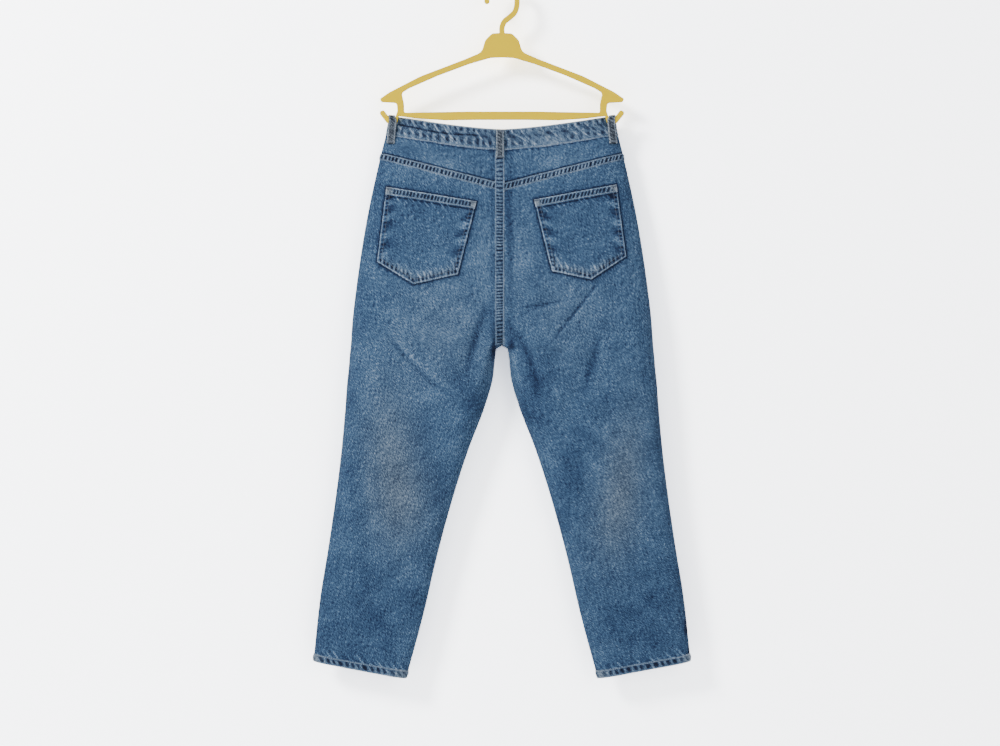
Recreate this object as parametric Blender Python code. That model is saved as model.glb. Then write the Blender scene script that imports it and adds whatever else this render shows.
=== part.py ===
"""Ankle-length five-pocket jeans that hang by two belt loops on a moulded plastic hanger.

The origin is the inside of the hook's crown, where a rail bears. +Z is up and +X is to the right of someone
who looks at the seat of the jeans, which faces -Y. The fly side faces +Y. The wearer's left is at -X.
Tables and sizes are in millimetres, and MM turns them into Blender's metres.
"""

import math

import bmesh
import bpy
import numpy as np
from mathutils import Vector

MM = 0.001

# Cloth and seams
DENIM = 1.5
WAISTBAND_WALL = 2.6
WAISTBAND_PROUD = 0.6
SEAM_GAP = 0.3
FELL_HEIGHT = 0.7
FELL_WIDTH = 12.0
FELL_EDGE = 1.6
HEM_WIDTH = 14.0
LAYER_GAP = 0.45

# Each row is one level of the garment, from the top of the waistband to the hem.
# z_side and x_side are the side seam. z_back, z_front and x_inner are the centre seams or, below the crotch,
# the inseam. neck is 1 where both halves make one tube and 0 where each leg is closed. deep_back and
# deep_front reach from the seams' plane, y_seam, to the cloth. square sharpens or rounds the side folds.
# dip is the power of the curve that a level follows from its inner end up to the side.
# rows is how many mesh rows lead on to the next level.
SECTION_COLUMNS = ("level", "z_side", "x_side", "z_back", "z_front", "x_inner", "neck",
                   "deep_back", "deep_front", "y_seam", "square", "dip", "rows")
SECTIONS = (
    ("waist top", -225.0, 194.5, -249.4, -285.0, 0.0, 1.00, 12.5, 12.5, 14.5, 10.0, 1.40, 2),
    ("waist seam", -259.3, 201.0, -286.9, -322.5, 0.0, 1.00, 14.0, 14.0, 13.5, 9.0, 1.35, 3),
    ("yoke seam", -289.8, 208.5, -343.3, -362.0, 0.0, 1.00, 18.0, 17.0, 11.5, 7.0, 1.00, 3),
    ("hip", -414.0, 234.8, -448.4, -452.0, 0.0, 1.00, 23.0, 20.0, 8.0, 5.0, 1.00, 3),
    ("seat", -517.2, 250.3, -537.8, -540.0, 0.0, 1.00, 26.0, 22.0, 5.0, 5.0, 1.00, 2),
    ("crotch curve", -578.0, 257.3, -577.4, -584.0, 0.0, 0.97, 27.0, 22.5, 3.5, 5.0, 1.00, 2),
    ("crotch point", -629.0, 261.0, -622.5, -622.5, 0.0, 0.00, 27.0, 22.5, 3.0, 5.0, 1.00, 1),
    ("fork", -638.0, 262.0, -626.5, -626.5, 8.6, 0.00, 26.8, 22.3, 2.8, 5.0, 1.00, 1),
    ("under fork", -656.0, 263.4, -642.0, -642.0, 11.6, 0.00, 26.5, 22.0, 2.5, 5.0, 1.00, 1),
    ("upper thigh", -688.0, 266.6, -675.0, -675.0, 15.0, 0.00, 26.0, 21.5, 2.0, 5.0, 1.00, 2),
    ("thigh", -732.0, 269.8, -724.0, -724.0, 28.4, 0.00, 25.0, 21.0, 1.8, 5.0, 1.00, 2),
    ("low thigh", -801.0, 276.0, -801.0, -801.0, 57.6, 0.00, 23.0, 20.0, 1.4, 5.0, 1.00, 2),
    ("knee", -870.0, 284.3, -878.4, -878.4, 82.6, 0.00, 20.0, 18.5, 1.0, 5.0, 1.00, 3),
    ("calf", -964.4, 297.9, -981.6, -981.6, 110.9, 0.00, 17.0, 16.0, 0.6, 5.5, 1.00, 3),
    ("ankle", -1060.7, 313.2, -1084.8, -1084.8, 135.0, 0.00, 14.0, 13.5, 0.3, 6.0, 1.00, 3),
    ("hem", -1164.0, 324.2, -1194.0, -1194.0, 164.5, 0.00, 12.0, 11.5, 0.0, 6.0, 1.00, 0),
)

# Arc shares of a panel's width, from the centre seam or inseam to the side, at which its mesh has a column.
COLUMN_SHARES = (0.0, 0.045, 0.11, 0.21, 0.34, 0.48, 0.62, 0.75, 0.855, 0.925, 0.975, 1.0)
# The least run between two mesh rows, the rows of a yoke, and the degrees past which an edge is shaded sharp.
LEAST_ROW = 9.0
YOKE_ROWS = 4
SHARP_DEGREES = 40
# A share within TINY of a seam lies on it. A share of ON_CENTRE does too, and keeps its side's sign.
TINY = 1e-9
ON_CENTRE = 1e-12
# How often a search halves its range.
HALVINGS = 40

# The largest folds, each a soft trough (height below zero) or ridge from one end to the other. They fade over
# these shares of the width next to the side and inner seams, and along their own length by a power.
FOLD_SIDE_FADE = 0.12
FOLD_INNER_FADE = 0.06
FOLD_END_POWER = 2.5
FOLD_COLUMNS = ("face", "x_from", "z_from", "x_to", "z_to", "width", "height")
FOLDS = (
    ("back", -22, -548, -78, -700, 15, -3.2),
    ("back", -10, -590, -52, -716, 11, 2.2),
    ("back", -196, -600, -106, -690, 9, -1.6),
    ("back", 162, -509, 84, -620, 8, -2.4),
    ("back", 44, -556, 118, -538, 9, -1.6),
    ("back", 162, -602, 106, -776, 17, -2.8),
    ("back", 10, -598, 66, -700, 14, -2.6),
    ("back", -120, -800, -170, -950, 26, 2.2),
    ("back", 180, -820, 225, -960, 24, 2.2),
    ("back", -225, -700, -245, -860, 16, -1.6),
    ("front", -30, -560, -120, -668, 14, -3.0),
    ("front", 26, -566, 104, -690, 13, -2.8),
    ("front", -60, -520, -176, -560, 12, -1.8),
    ("front", 66, -530, 190, -578, 12, -1.8),
    ("front", -110, -830, -190, -880, 16, 2.0),
    ("front", 120, -850, 205, -890, 16, 2.0),
    ("front", 150, -930, 175, -1080, 15, -1.6),
    ("front", -170, -940, -205, -1090, 15, -1.6),
)

# Back pockets: corners in the plane that faces the viewer, each named for its place on the pocket.
POCKET_CORNERS = {
    "back_pocket_left": {
        "outer_top": (-198.3, -349.8), "inner_top": (-43.2, -375.3), "inner_low": (-75.2, -500.7),
        "point": (-150.7, -517.7), "outer_low": (-213.5, -479.0),
    },
    "back_pocket_right": {
        "outer_top": (196.1, -345.6), "inner_top": (54.5, -372.4), "inner_low": (85.1, -495.2),
        "point": (152.2, -509.5), "outer_low": (212.4, -469.9),
    },
}
POCKET_ROWS = 6
POCKET_HALF_COLUMNS = 3

# The front pocket's scooped mouth, as arc shares of the front panel, and its facing under the panel.
MOUTH_SHARE = 0.60
MOUTH_LEVELS = 1.62
MOUTH_DEGREES = (33, 55, 71, 81, 87)
FACING_UNDERLAP = 0.05
FACING_GAP = 0.9
FACING_FOOT_SHARE = 0.93
FACING_FOOT_DIP = 3.4
FACING_ROWS = (0.0, 0.3, 0.6, 0.84, 0.97, 1.0)
FACING_COLUMN_COUNT = 9
# The power that crowds the facing's columns to the side seam, and where on its depth the mouth's rows end.
FACING_CROWD = 1.7
FACING_LAST_MOUTH_ROW = 0.98

# Arc shares of half the waistband's width at which its mesh has a column, and its rows.
BAND_SHARES = (0.0, 0.08, 0.2, 0.36, 0.53, 0.68, 0.79, 0.87, 0.92, 0.96, 0.986, 1.0)
BAND_ROWS = 3

# Fly and button. The button's profile is in shares of its radius and of its height.
FLY_WIDTH = 36.0
FLY_LEVELS = 2.45
FLY_STRAIGHT_SHARE = 0.62
FLY_STRAIGHT_ROWS = 5
FLY_DEGREES = (0, 25, 48, 66, 80)
FLY_COLUMN_COUNT = 4
FLY_WALL = 1.2
OVERLAP = 16.0
OVERLAP_RAMP = (26.0, 58.0)
BUTTON_RADIUS = 8.5
BUTTON_HEIGHT = 3.0
BUTTON_X = 3.0
BUTTON_SIDES = 20
BUTTON_PROFILE = ((0, 1), (0.55, 1), (0.82, 0.86), (1, 0.45), (0.94, 0.03), (0.6, 0), (0, 0))

# Hanger
HANGER_THICK = 5.0
HANGER_EDGE = 0.8
HOOK_WIDTH = 9.2
HOOK_RADIUS = 25.9

# Belt loops. A hung loop passes in front of the hanger's prong, and its underside is at this y there.
LOOP_WALL = 1.8
LOOP_WIDTH = 13.5
LOOP_BOW = 2.6
LOOP_BOW_POWER = 0.8
LOOP_GAP = 0.8
LOOP_COLUMN_COUNT = 5
HUNG_GAP = 0.35
HUNG_UNDERSIDE_Y = -(HANGER_THICK / 2 + HUNG_GAP)

COLOURS = {
    "denim": ((0.085, 0.165, 0.315, 1.0), 0.9, 0.0),
    "denim_worn": ((0.16, 0.24, 0.36, 1.0), 0.9, 0.0),
    "yellow_plastic": ((0.83, 0.62, 0.07, 1.0), 0.38, 0.0),
    "button_metal": ((0.36, 0.31, 0.25, 1.0), 0.35, 1.0),
}


def clear_scene():
    for old in list(bpy.data.objects):
        bpy.data.objects.remove(old, do_unlink=True)


def make_material(name):
    colour, roughness, metallic = COLOURS[name]
    made = bpy.data.materials.new(name)
    made.use_nodes = True
    shader = made.node_tree.nodes["Principled BSDF"]
    shader.inputs["Base Color"].default_value = colour
    shader.inputs["Roughness"].default_value = roughness
    shader.inputs["Metallic"].default_value = metallic
    made.diffuse_color = colour
    return made


def monotone(at, places, values):
    """Cubic interpolation that never overshoots: each slope is a harmonic mean of the rises beside it."""
    places, values = np.asarray(places, float), np.asarray(values, float)
    steps = np.diff(places)
    rises = np.diff(values) / steps
    slopes = np.zeros_like(values)
    same_way = rises[:-1] * rises[1:] > 0
    near, far = 2 * steps[1:] + steps[:-1], steps[1:] + 2 * steps[:-1]
    with np.errstate(divide="ignore", invalid="ignore"):
        inner = (near + far) / (near / rises[:-1] + far / rises[1:])
    slopes[1:-1] = np.where(same_way, inner, 0.0)
    slopes[0], slopes[-1] = rises[0], rises[-1]
    at = np.clip(at, places[0], places[-1])
    k = np.clip(np.searchsorted(places, at, side="right") - 1, 0, len(steps) - 1)
    h, t = steps[k], (at - places[k]) / steps[k]
    return ((2 * t**3 - 3 * t**2 + 1) * values[k] + (t**3 - 2 * t**2 + t) * h * slopes[k]
            + (3 * t**2 - 2 * t**3) * values[k + 1] + (t**3 - t**2) * h * slopes[k + 1])


def column_of(name):
    return np.array([row[SECTION_COLUMNS.index(name)] for row in SECTIONS], float)


LEVELS = [row[0] for row in SECTIONS]
Z_SIDE, Z_BACK = column_of("z_side"), column_of("z_back")
DROP = np.concatenate([[0.0], np.cumsum(-np.diff(Z_SIDE + Z_BACK) / 2)])


def drop_of(level):
    """How far down the garment a level lies: a level's name, or its number with a fraction."""
    number = LEVELS.index(level) if isinstance(level, str) else level
    return float(np.interp(number, range(len(LEVELS)), DROP))


def section_at(drop, face):
    """The section table's values at these drops, for the back or the front of the garment."""
    named = {"z_inner": f"z_{face}", "deep": f"deep_{face}"}
    wanted = ("z_side", "x_side", "z_inner", "x_inner", "neck", "deep", "y_seam", "square", "dip")
    return {key: monotone(drop, DROP, column_of(named.get(key, key))) for key in wanted}


def base_point(drop, share, face):
    """The garment's surface at a drop, a signed share of the way to a side seam (-1 to 1), on one face.

    Across, the depth is that of a rounded slab, the root of 1 - u ** square, where u runs from the neck to 1.
    """
    s = section_at(drop, face)
    w = np.abs(share)
    side = np.where(share < 0, -1.0, 1.0)
    start = (1 - s["neck"] ** 2) ** (1 / s["square"])
    u = -start + (1 + start) * w
    depth = s["deep"] * np.sqrt(np.clip(1 - np.abs(u) ** s["square"], 0, None))
    outward = -1.0 if face == "back" else 1.0
    x = s["x_inner"] + (s["x_side"] - s["x_inner"]) * w
    y = s["y_seam"] + outward * depth
    z = s["z_inner"] + (s["z_side"] - s["z_inner"]) * w ** s["dip"]
    return np.stack([side * x, y + 0 * w, z], axis=-1)


DENSE = (1 - np.cos(np.linspace(0, math.pi, 241))) / 2


def shares_at_arc(drop, arc_shares, face):
    """The shares across one row whose arc lengths from the inner end are these parts of the whole."""
    row = base_point(np.full_like(DENSE, drop), DENSE, face)
    run = np.concatenate([[0.0], np.cumsum(np.linalg.norm(np.diff(row, axis=0), axis=1))])
    return np.interp(np.asarray(arc_shares) * run[-1], run, DENSE), run[-1]


def base_normal(drop, share, face):
    """Unit normals that point out of the garment. On a seam they lie in the seam's own plane."""
    step_down, step_across = 0.6, 0.0006
    w = np.abs(share)
    low, high = np.clip(w - step_across, 0, 1), np.clip(w + step_across, 0, 1)
    down = base_point(drop + step_down, w, face) - base_point(drop - step_down, w, face)
    across = base_point(drop, high, face) - base_point(drop, low, face)
    n = np.cross(down, across) if face == "back" else np.cross(across, down)
    s = section_at(drop, face)
    n[..., 1] = np.where(w > 1 - TINY, 0.0, n[..., 1])
    on_inner = w < TINY
    n[..., 1] = np.where(on_inner & (s["neck"] < TINY), 0.0, n[..., 1])
    n[..., 0] = np.where(on_inner & (s["x_inner"] < TINY), 0.0, n[..., 0])
    length = np.linalg.norm(n, axis=-1, keepdims=True)
    n = np.where(length > TINY, n / np.maximum(length, TINY), [0.0, 0.0, -1.0])
    n[..., 0] *= np.where(share < 0, -1.0, 1.0)
    return n


def fold_height(points, face):
    """How far the folds lift or sink the cloth: each is a bell across its line, faded at its ends."""
    total = np.zeros(points.shape[:-1])
    for row in FOLDS:
        fold = dict(zip(FOLD_COLUMNS, row))
        if fold["face"] != face:
            continue
        start = np.array([fold["x_from"], fold["z_from"]], float)
        run = np.array([fold["x_to"], fold["z_to"]], float) - start
        length = np.hypot(*run)
        offset = points[..., [0, 2]] - start
        along = offset @ run / length**2
        across = (offset[..., 0] * run[1] - offset[..., 1] * run[0]) / length
        fade = np.clip(1 - np.abs(2 * along - 1) ** FOLD_END_POWER, 0, None)
        total += fold["height"] * fade * np.exp(-((across / fold["width"]) ** 2))
    return total


def fold_fade(share):
    """Folds die away towards the seams, so that neighbouring pieces still meet."""
    w = np.abs(share)
    at_side = np.clip((1 - w) / FOLD_SIDE_FADE, 0, 1)
    at_inner = np.clip(w / FOLD_INNER_FADE, 0, 1)
    return at_side * at_inner


def apart(points, face):
    """Moves points off the seam planes by half the seam gap, so that neighbours keep the whole gap."""
    moved = points.copy()
    moved[..., 0] += np.where(points[..., 0] < 0, -1, 1) * SEAM_GAP / 2
    moved[..., 1] += (-1 if face == "back" else 1) * SEAM_GAP / 2
    return moved


def cloth_point(drop, share, face, lift):
    """A point on the folded cloth, moved out along its normal by lift."""
    base = base_point(drop, share, face)
    height = fold_height(base, face) * fold_fade(share) + lift
    return apart(base + base_normal(drop, share, face) * height[..., None], face)


def drop_at(x, z, face):
    """The drop at which the surface seen from in front lies at (x, z), found by halving."""
    low, high = np.zeros_like(x), np.full_like(x, DROP[-1])
    for _ in range(HALVINGS):
        middle = (low + high) / 2
        s = section_at(middle, face)
        w = np.clip((np.abs(x) - s["x_inner"]) / (s["x_side"] - s["x_inner"]), 0, 1)
        above = s["z_inner"] + (s["z_side"] - s["z_inner"]) * w ** s["dip"] > z
        low, high = np.where(above, middle, low), np.where(above, high, middle)
    s = section_at(low, face)
    w = np.clip((np.abs(x) - s["x_inner"]) / (s["x_side"] - s["x_inner"]), 0, 1)
    return low, w * np.where(x < 0, -1, 1)


def add_object(name, mesh, material, collection):
    made = bpy.data.objects.new(name, mesh)
    made.data.materials.append(material)
    collection.objects.link(made)
    return made


def grid_faces(rows, columns, first=0):
    corner = (np.arange(rows - 1)[:, None] * columns + np.arange(columns - 1)[None, :]).ravel() + first
    return np.stack([corner, corner + 1, corner + columns + 1, corner + columns], axis=1)


def add_wall(name, outer, inner, material, collection):
    """A closed wall of cloth: a grid of outer points, the same grid inside, and the rim that joins them."""
    rows, columns = outer.shape[:2]
    count = rows * columns
    index = np.arange(count).reshape(rows, columns)
    rim = np.concatenate([index[0, :], index[1:, -1], index[-1, -2::-1], index[-2:0:-1, 0]])
    ahead = np.roll(rim, -1)
    outer_faces = grid_faces(rows, columns)
    inner_faces = grid_faces(rows, columns, count)[:, ::-1]
    rim_faces = np.stack([ahead, rim, rim + count, ahead + count], axis=1)
    points = np.concatenate([outer.reshape(-1, 3), inner.reshape(-1, 3)]) * MM
    mesh = bpy.data.meshes.new(name)
    mesh.from_pydata(points.tolist(), [], np.concatenate([outer_faces, inner_faces, rim_faces]).tolist())
    shape = bmesh.new()
    shape.from_mesh(mesh)
    bmesh.ops.recalc_face_normals(shape, faces=shape.faces)
    shape.to_mesh(mesh)
    shape.free()
    mesh.shade_smooth()
    mesh.set_sharp_from_angle(angle=math.radians(SHARP_DEGREES))
    return add_object(name, mesh, material, collection)


def mesh_drops(top, bottom, extra=()):
    """Drops of a panel's mesh rows: the table's rows between the levels, and any more that are given."""
    first, last = drop_of(top), drop_of(bottom)
    found = {first, last, *extra}
    for number, row in enumerate(SECTIONS[:-1]):
        count = row[SECTION_COLUMNS.index("rows")]
        found.update(DROP[number] + (DROP[number + 1] - DROP[number]) * k / count for k in range(count))
    return np.array(sorted(d for d in found if first <= d <= last))


def thin_out(drops, least, keep):
    """Leaves out rows that lie closer than least to the one above, apart from those to keep."""
    kept = [drops[0]]
    for d in drops[1:-1]:
        if d in keep or (d - kept[-1] >= least and min(abs(d - k) for k in keep) >= least):
            kept.append(d)
    return np.array([*kept, drops[-1]])


def panel_grid(drops, face, side, arc_shares):
    """Drops and signed shares on a panel's grid. arc_shares has a row for each drop, or one for them all."""
    rows = np.broadcast_to(arc_shares, (len(drops), np.shape(arc_shares)[-1]))
    shares = np.array([shares_at_arc(drop, row, face)[0] for drop, row in zip(drops, rows)])
    shares = np.where(rows >= 1.0, 1.0, shares)
    signed = side * np.maximum(shares, ON_CENTRE)
    return np.repeat(drops[:, None], shares.shape[1], axis=1), signed


def band_lift(distance, width):
    """The height of a felled seam or a turned hem at a distance from the edge that it runs along."""
    return FELL_HEIGHT * np.clip((width + FELL_EDGE - distance) / FELL_EDGE, 0, 1)


def hem_rows():
    """The drops at which the raised band of the hem begins and is at its full height."""
    return DROP[-1] - HEM_WIDTH - FELL_EDGE, DROP[-1] - HEM_WIDTH


def centre_columns(drops, side):
    """Arc shares of a back piece's columns for each drop. On the left, two of them edge the raised band."""
    rows = np.tile(np.array(COLUMN_SHARES), (len(drops), 1))
    if side < 0:
        reach = np.array([shares_at_arc(drop, 1.0, "back")[1] for drop in drops])
        band = np.array([FELL_WIDTH, FELL_WIDTH + FELL_EDGE]) / reach[:, None]
        rows = np.concatenate([rows[:, :1], band, rows[:, 2:]], axis=1)
    return rows


def centre_lift(drops, side):
    """The raised band of the felled centre seam, on the left panel only, down to the crotch."""
    columns = centre_columns(drops, side)
    if side > 0:
        return np.zeros_like(columns)
    raised = np.where(np.arange(columns.shape[1]) < 2, FELL_HEIGHT, 0.0)
    return raised * (drops < drop_of("crotch curve"))[:, None]


def add_back_panel(side_name, side, materials, collection):
    """Back of one leg, from the yoke seam to the hem, with the raised bands of its felled seams and hem."""
    top = drop_of("yoke seam") + SEAM_GAP
    bands = (top + FELL_WIDTH, top + FELL_WIDTH + FELL_EDGE, *hem_rows())
    drops = thin_out(mesh_drops("yoke seam", "hem", bands), LEAST_ROW, bands)
    drops[0] = top
    drop, share = panel_grid(drops, "back", side, centre_columns(drops, side))
    lift = np.maximum(band_lift(drop - top, FELL_WIDTH), band_lift(DROP[-1] - drop, HEM_WIDTH))
    lift = np.maximum(lift, centre_lift(drops, side))
    outer = cloth_point(drop, share, "back", lift)
    inner = cloth_point(drop, share, "back", np.full_like(drop, -DENIM))
    add_wall(f"back_panel_{side_name}", outer, inner, materials["denim"], collection)


def add_yoke(side_name, side, materials, collection):
    """The wedge between the waist seam and the yoke seam, deepest at the centre back."""
    first = drop_of("waist seam") + SEAM_GAP
    drops = np.linspace(first, drop_of("yoke seam"), YOKE_ROWS)
    drop, share = panel_grid(drops, "back", side, centre_columns(drops, side))
    outer = cloth_point(drop, share, "back", centre_lift(drops, side))
    inner = cloth_point(drop, share, "back", np.full_like(drop, -DENIM))
    add_wall(f"yoke_{side_name}", outer, inner, materials["denim"], collection)


def mouth_share(drop):
    """Arc share at which the pocket mouth cuts the front panel: a quarter of an ellipse."""
    first, last = drop_of("waist seam"), drop_of(MOUTH_LEVELS + 1)
    down = np.clip((drop - first) / (last - first), 0, 1)
    return 1 - (1 - MOUTH_SHARE) * np.sqrt(1 - down**2)


def add_front_panel(side_name, side, materials, collection):
    """Front of one leg, from the waist seam to the hem, with its corner scooped away for the pocket."""
    first, last = drop_of("waist seam"), drop_of(MOUTH_LEVELS + 1)
    curve = tuple(first + (last - first) * math.sin(math.radians(a)) for a in MOUTH_DEGREES)
    kept = (*curve, last, *hem_rows())
    drops = thin_out(mesh_drops("waist seam", "hem", kept), LEAST_ROW, kept)
    drops[0] = first + SEAM_GAP
    mouth = np.where(drops >= last, 1.0, mouth_share(drops))
    drop, share = panel_grid(drops, "front", side, mouth[:, None] * COLUMN_SHARES)
    outer = cloth_point(drop, share, "front", band_lift(DROP[-1] - drop, HEM_WIDTH))
    inner = cloth_point(drop, share, "front", np.full_like(drop, -DENIM))
    add_wall(f"front_panel_{side_name}", outer, inner, materials["denim"], collection)


def add_pocket_facing(side_name, side, materials, collection):
    """The hip facing that shows in the pocket's mouth. It dips from the side seam to run under the front."""
    first, last = drop_of("waist seam") + SEAM_GAP, drop_of(MOUTH_LEVELS + 1)
    drops = first + (last - first) * np.array(FACING_ROWS)
    mouth = mouth_share(np.minimum(drops, first + FACING_LAST_MOUTH_ROW * (last - first)))[:, None]
    foot = drops[:, None] == last
    across = 1 - (1 - np.linspace(0, 1, FACING_COLUMN_COUNT)) ** FACING_CROWD
    start = mouth - FACING_UNDERLAP
    arc = start + (np.where(foot, FACING_FOOT_SHARE, 1.0) - start) * across
    bare = np.clip((arc - mouth) / (1 - mouth), 0, 1)
    dip = np.where(foot, FACING_FOOT_DIP, (DENIM + FACING_GAP) * (1 - bare**2 * (3 - 2 * bare)))
    drop, share = panel_grid(drops, "front", side, arc)
    outer = cloth_point(drop, share, "front", -dip)
    inner = cloth_point(drop, share, "front", -dip - DENIM)
    add_wall(f"pocket_facing_{side_name}", outer, inner, materials["denim"], collection)


def add_back_pocket(name, materials, collection):
    """A five-cornered patch made from the back's points, moved out."""
    corner = {key: np.array(value, float) for key, value in POCKET_CORNERS[name].items()}
    halves = np.linspace(0, 1, POCKET_HALF_COLUMNS + 1)[:, None]
    outer_foot = corner["outer_low"] + (corner["point"] - corner["outer_low"]) * halves
    inner_foot = corner["point"] + (corner["inner_low"] - corner["point"]) * halves[1:]
    foot = np.concatenate([outer_foot, inner_foot])
    across = np.linspace(0, 1, len(foot))[:, None]
    head = corner["outer_top"] + (corner["inner_top"] - corner["outer_top"]) * across
    down = np.linspace(0, 1, POCKET_ROWS + 1)[:, None, None]
    flat = head[None] + (foot - head)[None] * down
    drop, share = drop_at(flat[..., 0], flat[..., 1], "back")
    outer = cloth_point(drop, share, "back", np.full_like(drop, LAYER_GAP + DENIM))
    inner = cloth_point(drop, share, "back", np.full_like(drop, LAYER_GAP))
    add_wall(name, outer, inner, materials["denim"], collection)


def add_fly(materials, collection):
    """The fly's flap on the wearer's left front, straight at first and then curved in to the centre."""
    first, last = drop_of("waist seam") + SEAM_GAP, drop_of(FLY_LEVELS + 1)
    bend = first + FLY_STRAIGHT_SHARE * (last - first)
    turns = [bend + (last - bend) * math.sin(math.radians(a)) for a in FLY_DEGREES]
    drops = np.array([*np.linspace(first, bend, FLY_STRAIGHT_ROWS, endpoint=False), *turns])
    down = np.clip((drops - bend) / (last - bend), 0, 1)
    widths = FLY_WIDTH * np.sqrt(1 - down**2)
    across = np.linspace(0, 1, FLY_COLUMN_COUNT)
    x_side = section_at(drops, "front")["x_side"]
    share = -widths[:, None] * across[None, :] / x_side[:, None] - ON_CENTRE
    drop = np.repeat(drops[:, None], len(across), axis=1)
    outer = cloth_point(drop, share, "front", np.full_like(drop, LAYER_GAP + FLY_WALL))
    inner = cloth_point(drop, share, "front", np.full_like(drop, LAYER_GAP))
    add_wall("fly_flap", outer, inner, materials["denim"], collection)


def band_point(drop, share, face, lift):
    """A point of the waistband. Its layers turn the corners at the sides, so no seam gap is kept there."""
    base = base_point(drop, share, face)
    return base + base_normal(drop, share, face) * np.asarray(lift)[..., None]


def band_stations():
    """(face, signed share, lift) along the waistband, from its upper end round the back to its under end."""
    x_side = column_of("x_side")[LEVELS.index("waist seam")]
    arc = np.array(BAND_SHARES)
    drop = drop_of("waist seam")
    back = shares_at_arc(drop, arc, "back")[0]
    front = shares_at_arc(drop, arc, "front")[0]
    beyond = OVERLAP / x_side
    ramp = [x / x_side for x in (*OVERLAP_RAMP, sum(OVERLAP_RAMP) / 2)]
    left_front = np.array(sorted({*front[1:-1], *ramp}))
    rows = [("front", beyond), ("front", beyond / 2), ("front", ON_CENTRE)]
    rows += [("front", -s) for s in left_front] + [("front", -1.0)]
    rows += [("back", -s) for s in back[-2:0:-1]] + [("back", ON_CENTRE)] + [("back", s) for s in back[1:-1]]
    rows += [("front", 1.0)] + [("front", s) for s in front[-2:0:-1]]
    rows += [("front", ON_CENTRE), ("front", -beyond / 2), ("front", -beyond)]
    stations = []
    for number, (face, share) in enumerate(rows):
        x = share * x_side
        ramp_share = np.clip((OVERLAP_RAMP[1] + x) / (OVERLAP_RAMP[1] - OVERLAP_RAMP[0]), 0, 1)
        on_top = number < len(left_front) + 3
        raised = WAISTBAND_WALL + SEAM_GAP if on_top else 0.0
        stations.append((face, share, WAISTBAND_PROUD + raised * ramp_share))
    return stations


def add_waistband(materials, collection):
    """One strip round the waist that overlaps itself at the centre front, the wearer's left on top."""
    drops = np.linspace(0.0, drop_of("waist seam") - SEAM_GAP, BAND_ROWS)
    stations = band_stations()

    def layer(depth):
        return np.array([[band_point(drop, np.float64(share), face, lift - depth)
                          for face, share, lift in stations] for drop in drops])

    add_wall("waistband", layer(0.0), layer(WAISTBAND_WALL), materials["denim"], collection)


def band_face(x, z, face):
    """Points of the waistband's or the yoke's outer face at (x, z) as seen from in front."""
    drop, share = drop_at(x, z, face)
    return band_point(drop, share, face, np.full_like(drop, WAISTBAND_PROUD))


def add_loop(name, face, top, bottom, path, material, collection):
    """A belt loop along the path's rows, from its tack at the waistband's edge to the one below its seam."""
    down, off, reach, gathered = np.array(path).T[:, :, None]
    across = np.linspace(-0.5, 0.5, LOOP_COLUMN_COUNT)[None, :] * (LOOP_WIDTH - gathered)
    run = np.array(bottom) - np.array(top)
    square = np.array([-run[1], run[0]]) / np.hypot(*run)
    x = top[0] + run[0] * down + square[0] * across + np.sign(top[0]) * gathered
    z = top[1] + run[1] * down + square[1] * across
    cloth = band_face(x, z, face)
    outward = -1 if face == "back" else 1
    under = cloth.copy()
    under[..., 1] += outward * (LOOP_GAP + off)
    under[..., 1] += (HUNG_UNDERSIDE_Y - under[..., 1]) * reach
    along = np.gradient(under, axis=0)
    across = np.gradient(under, axis=1)
    normal = np.cross(along, across)
    normal /= np.linalg.norm(normal, axis=-1, keepdims=True)
    normal *= np.sign((normal[..., 1] * outward).sum())
    over = under + normal * LOOP_WALL
    add_wall(name, over, under, material, collection)


# The columns of a loop's path: the share of the way down, how far it stands off the cloth, how far of the
# way from there it reaches to the prong's front, and how much it is gathered where it passes the prong.
LOOP_ROWS = np.linspace(0, 1, 9)
PLAIN_LOOP = tuple((d, LOOP_BOW * math.sin(math.pi * d) ** LOOP_BOW_POWER, 0.0, 0.0) for d in LOOP_ROWS)
HUNG_LOOP = (
    (0.060, 0.0, 0.00, 2.7), (0.058, 0.0, 0.45, 2.7), (0.066, 0.0, 0.88, 2.7), (0.084, 0.0, 1.00, 2.7),
    (0.14, 0.0, 1.00, 0.7), (0.24, 0.0, 1.00, 0.0), (0.38, 0.0, 1.00, 0.0), (0.52, 0.0, 0.86, 0.0),
    (0.64, 0.0, 0.52, 0.0), (0.76, 0.0, 0.18, 0.0), (0.87, 0.0, 0.02, 0.0), (1.0, 0.0, 0.0, 0.0),
)
LOOPS = (
    ("belt_loop_back", "back", (-3.4, -250.4), (-3.4, -300.0), PLAIN_LOOP),
    ("belt_loop_back_left", "back", (-186.2, -224.4), (-191.5, -274.6), HUNG_LOOP),
    ("belt_loop_back_right", "back", (186.2, -224.4), (191.5, -274.6), HUNG_LOOP),
    ("belt_loop_front_left", "front", (-104.0, -265.5), (-104.0, -313.0), PLAIN_LOOP),
    ("belt_loop_front_right", "front", (104.0, -265.5), (104.0, -313.0), PLAIN_LOOP),
)


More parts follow.
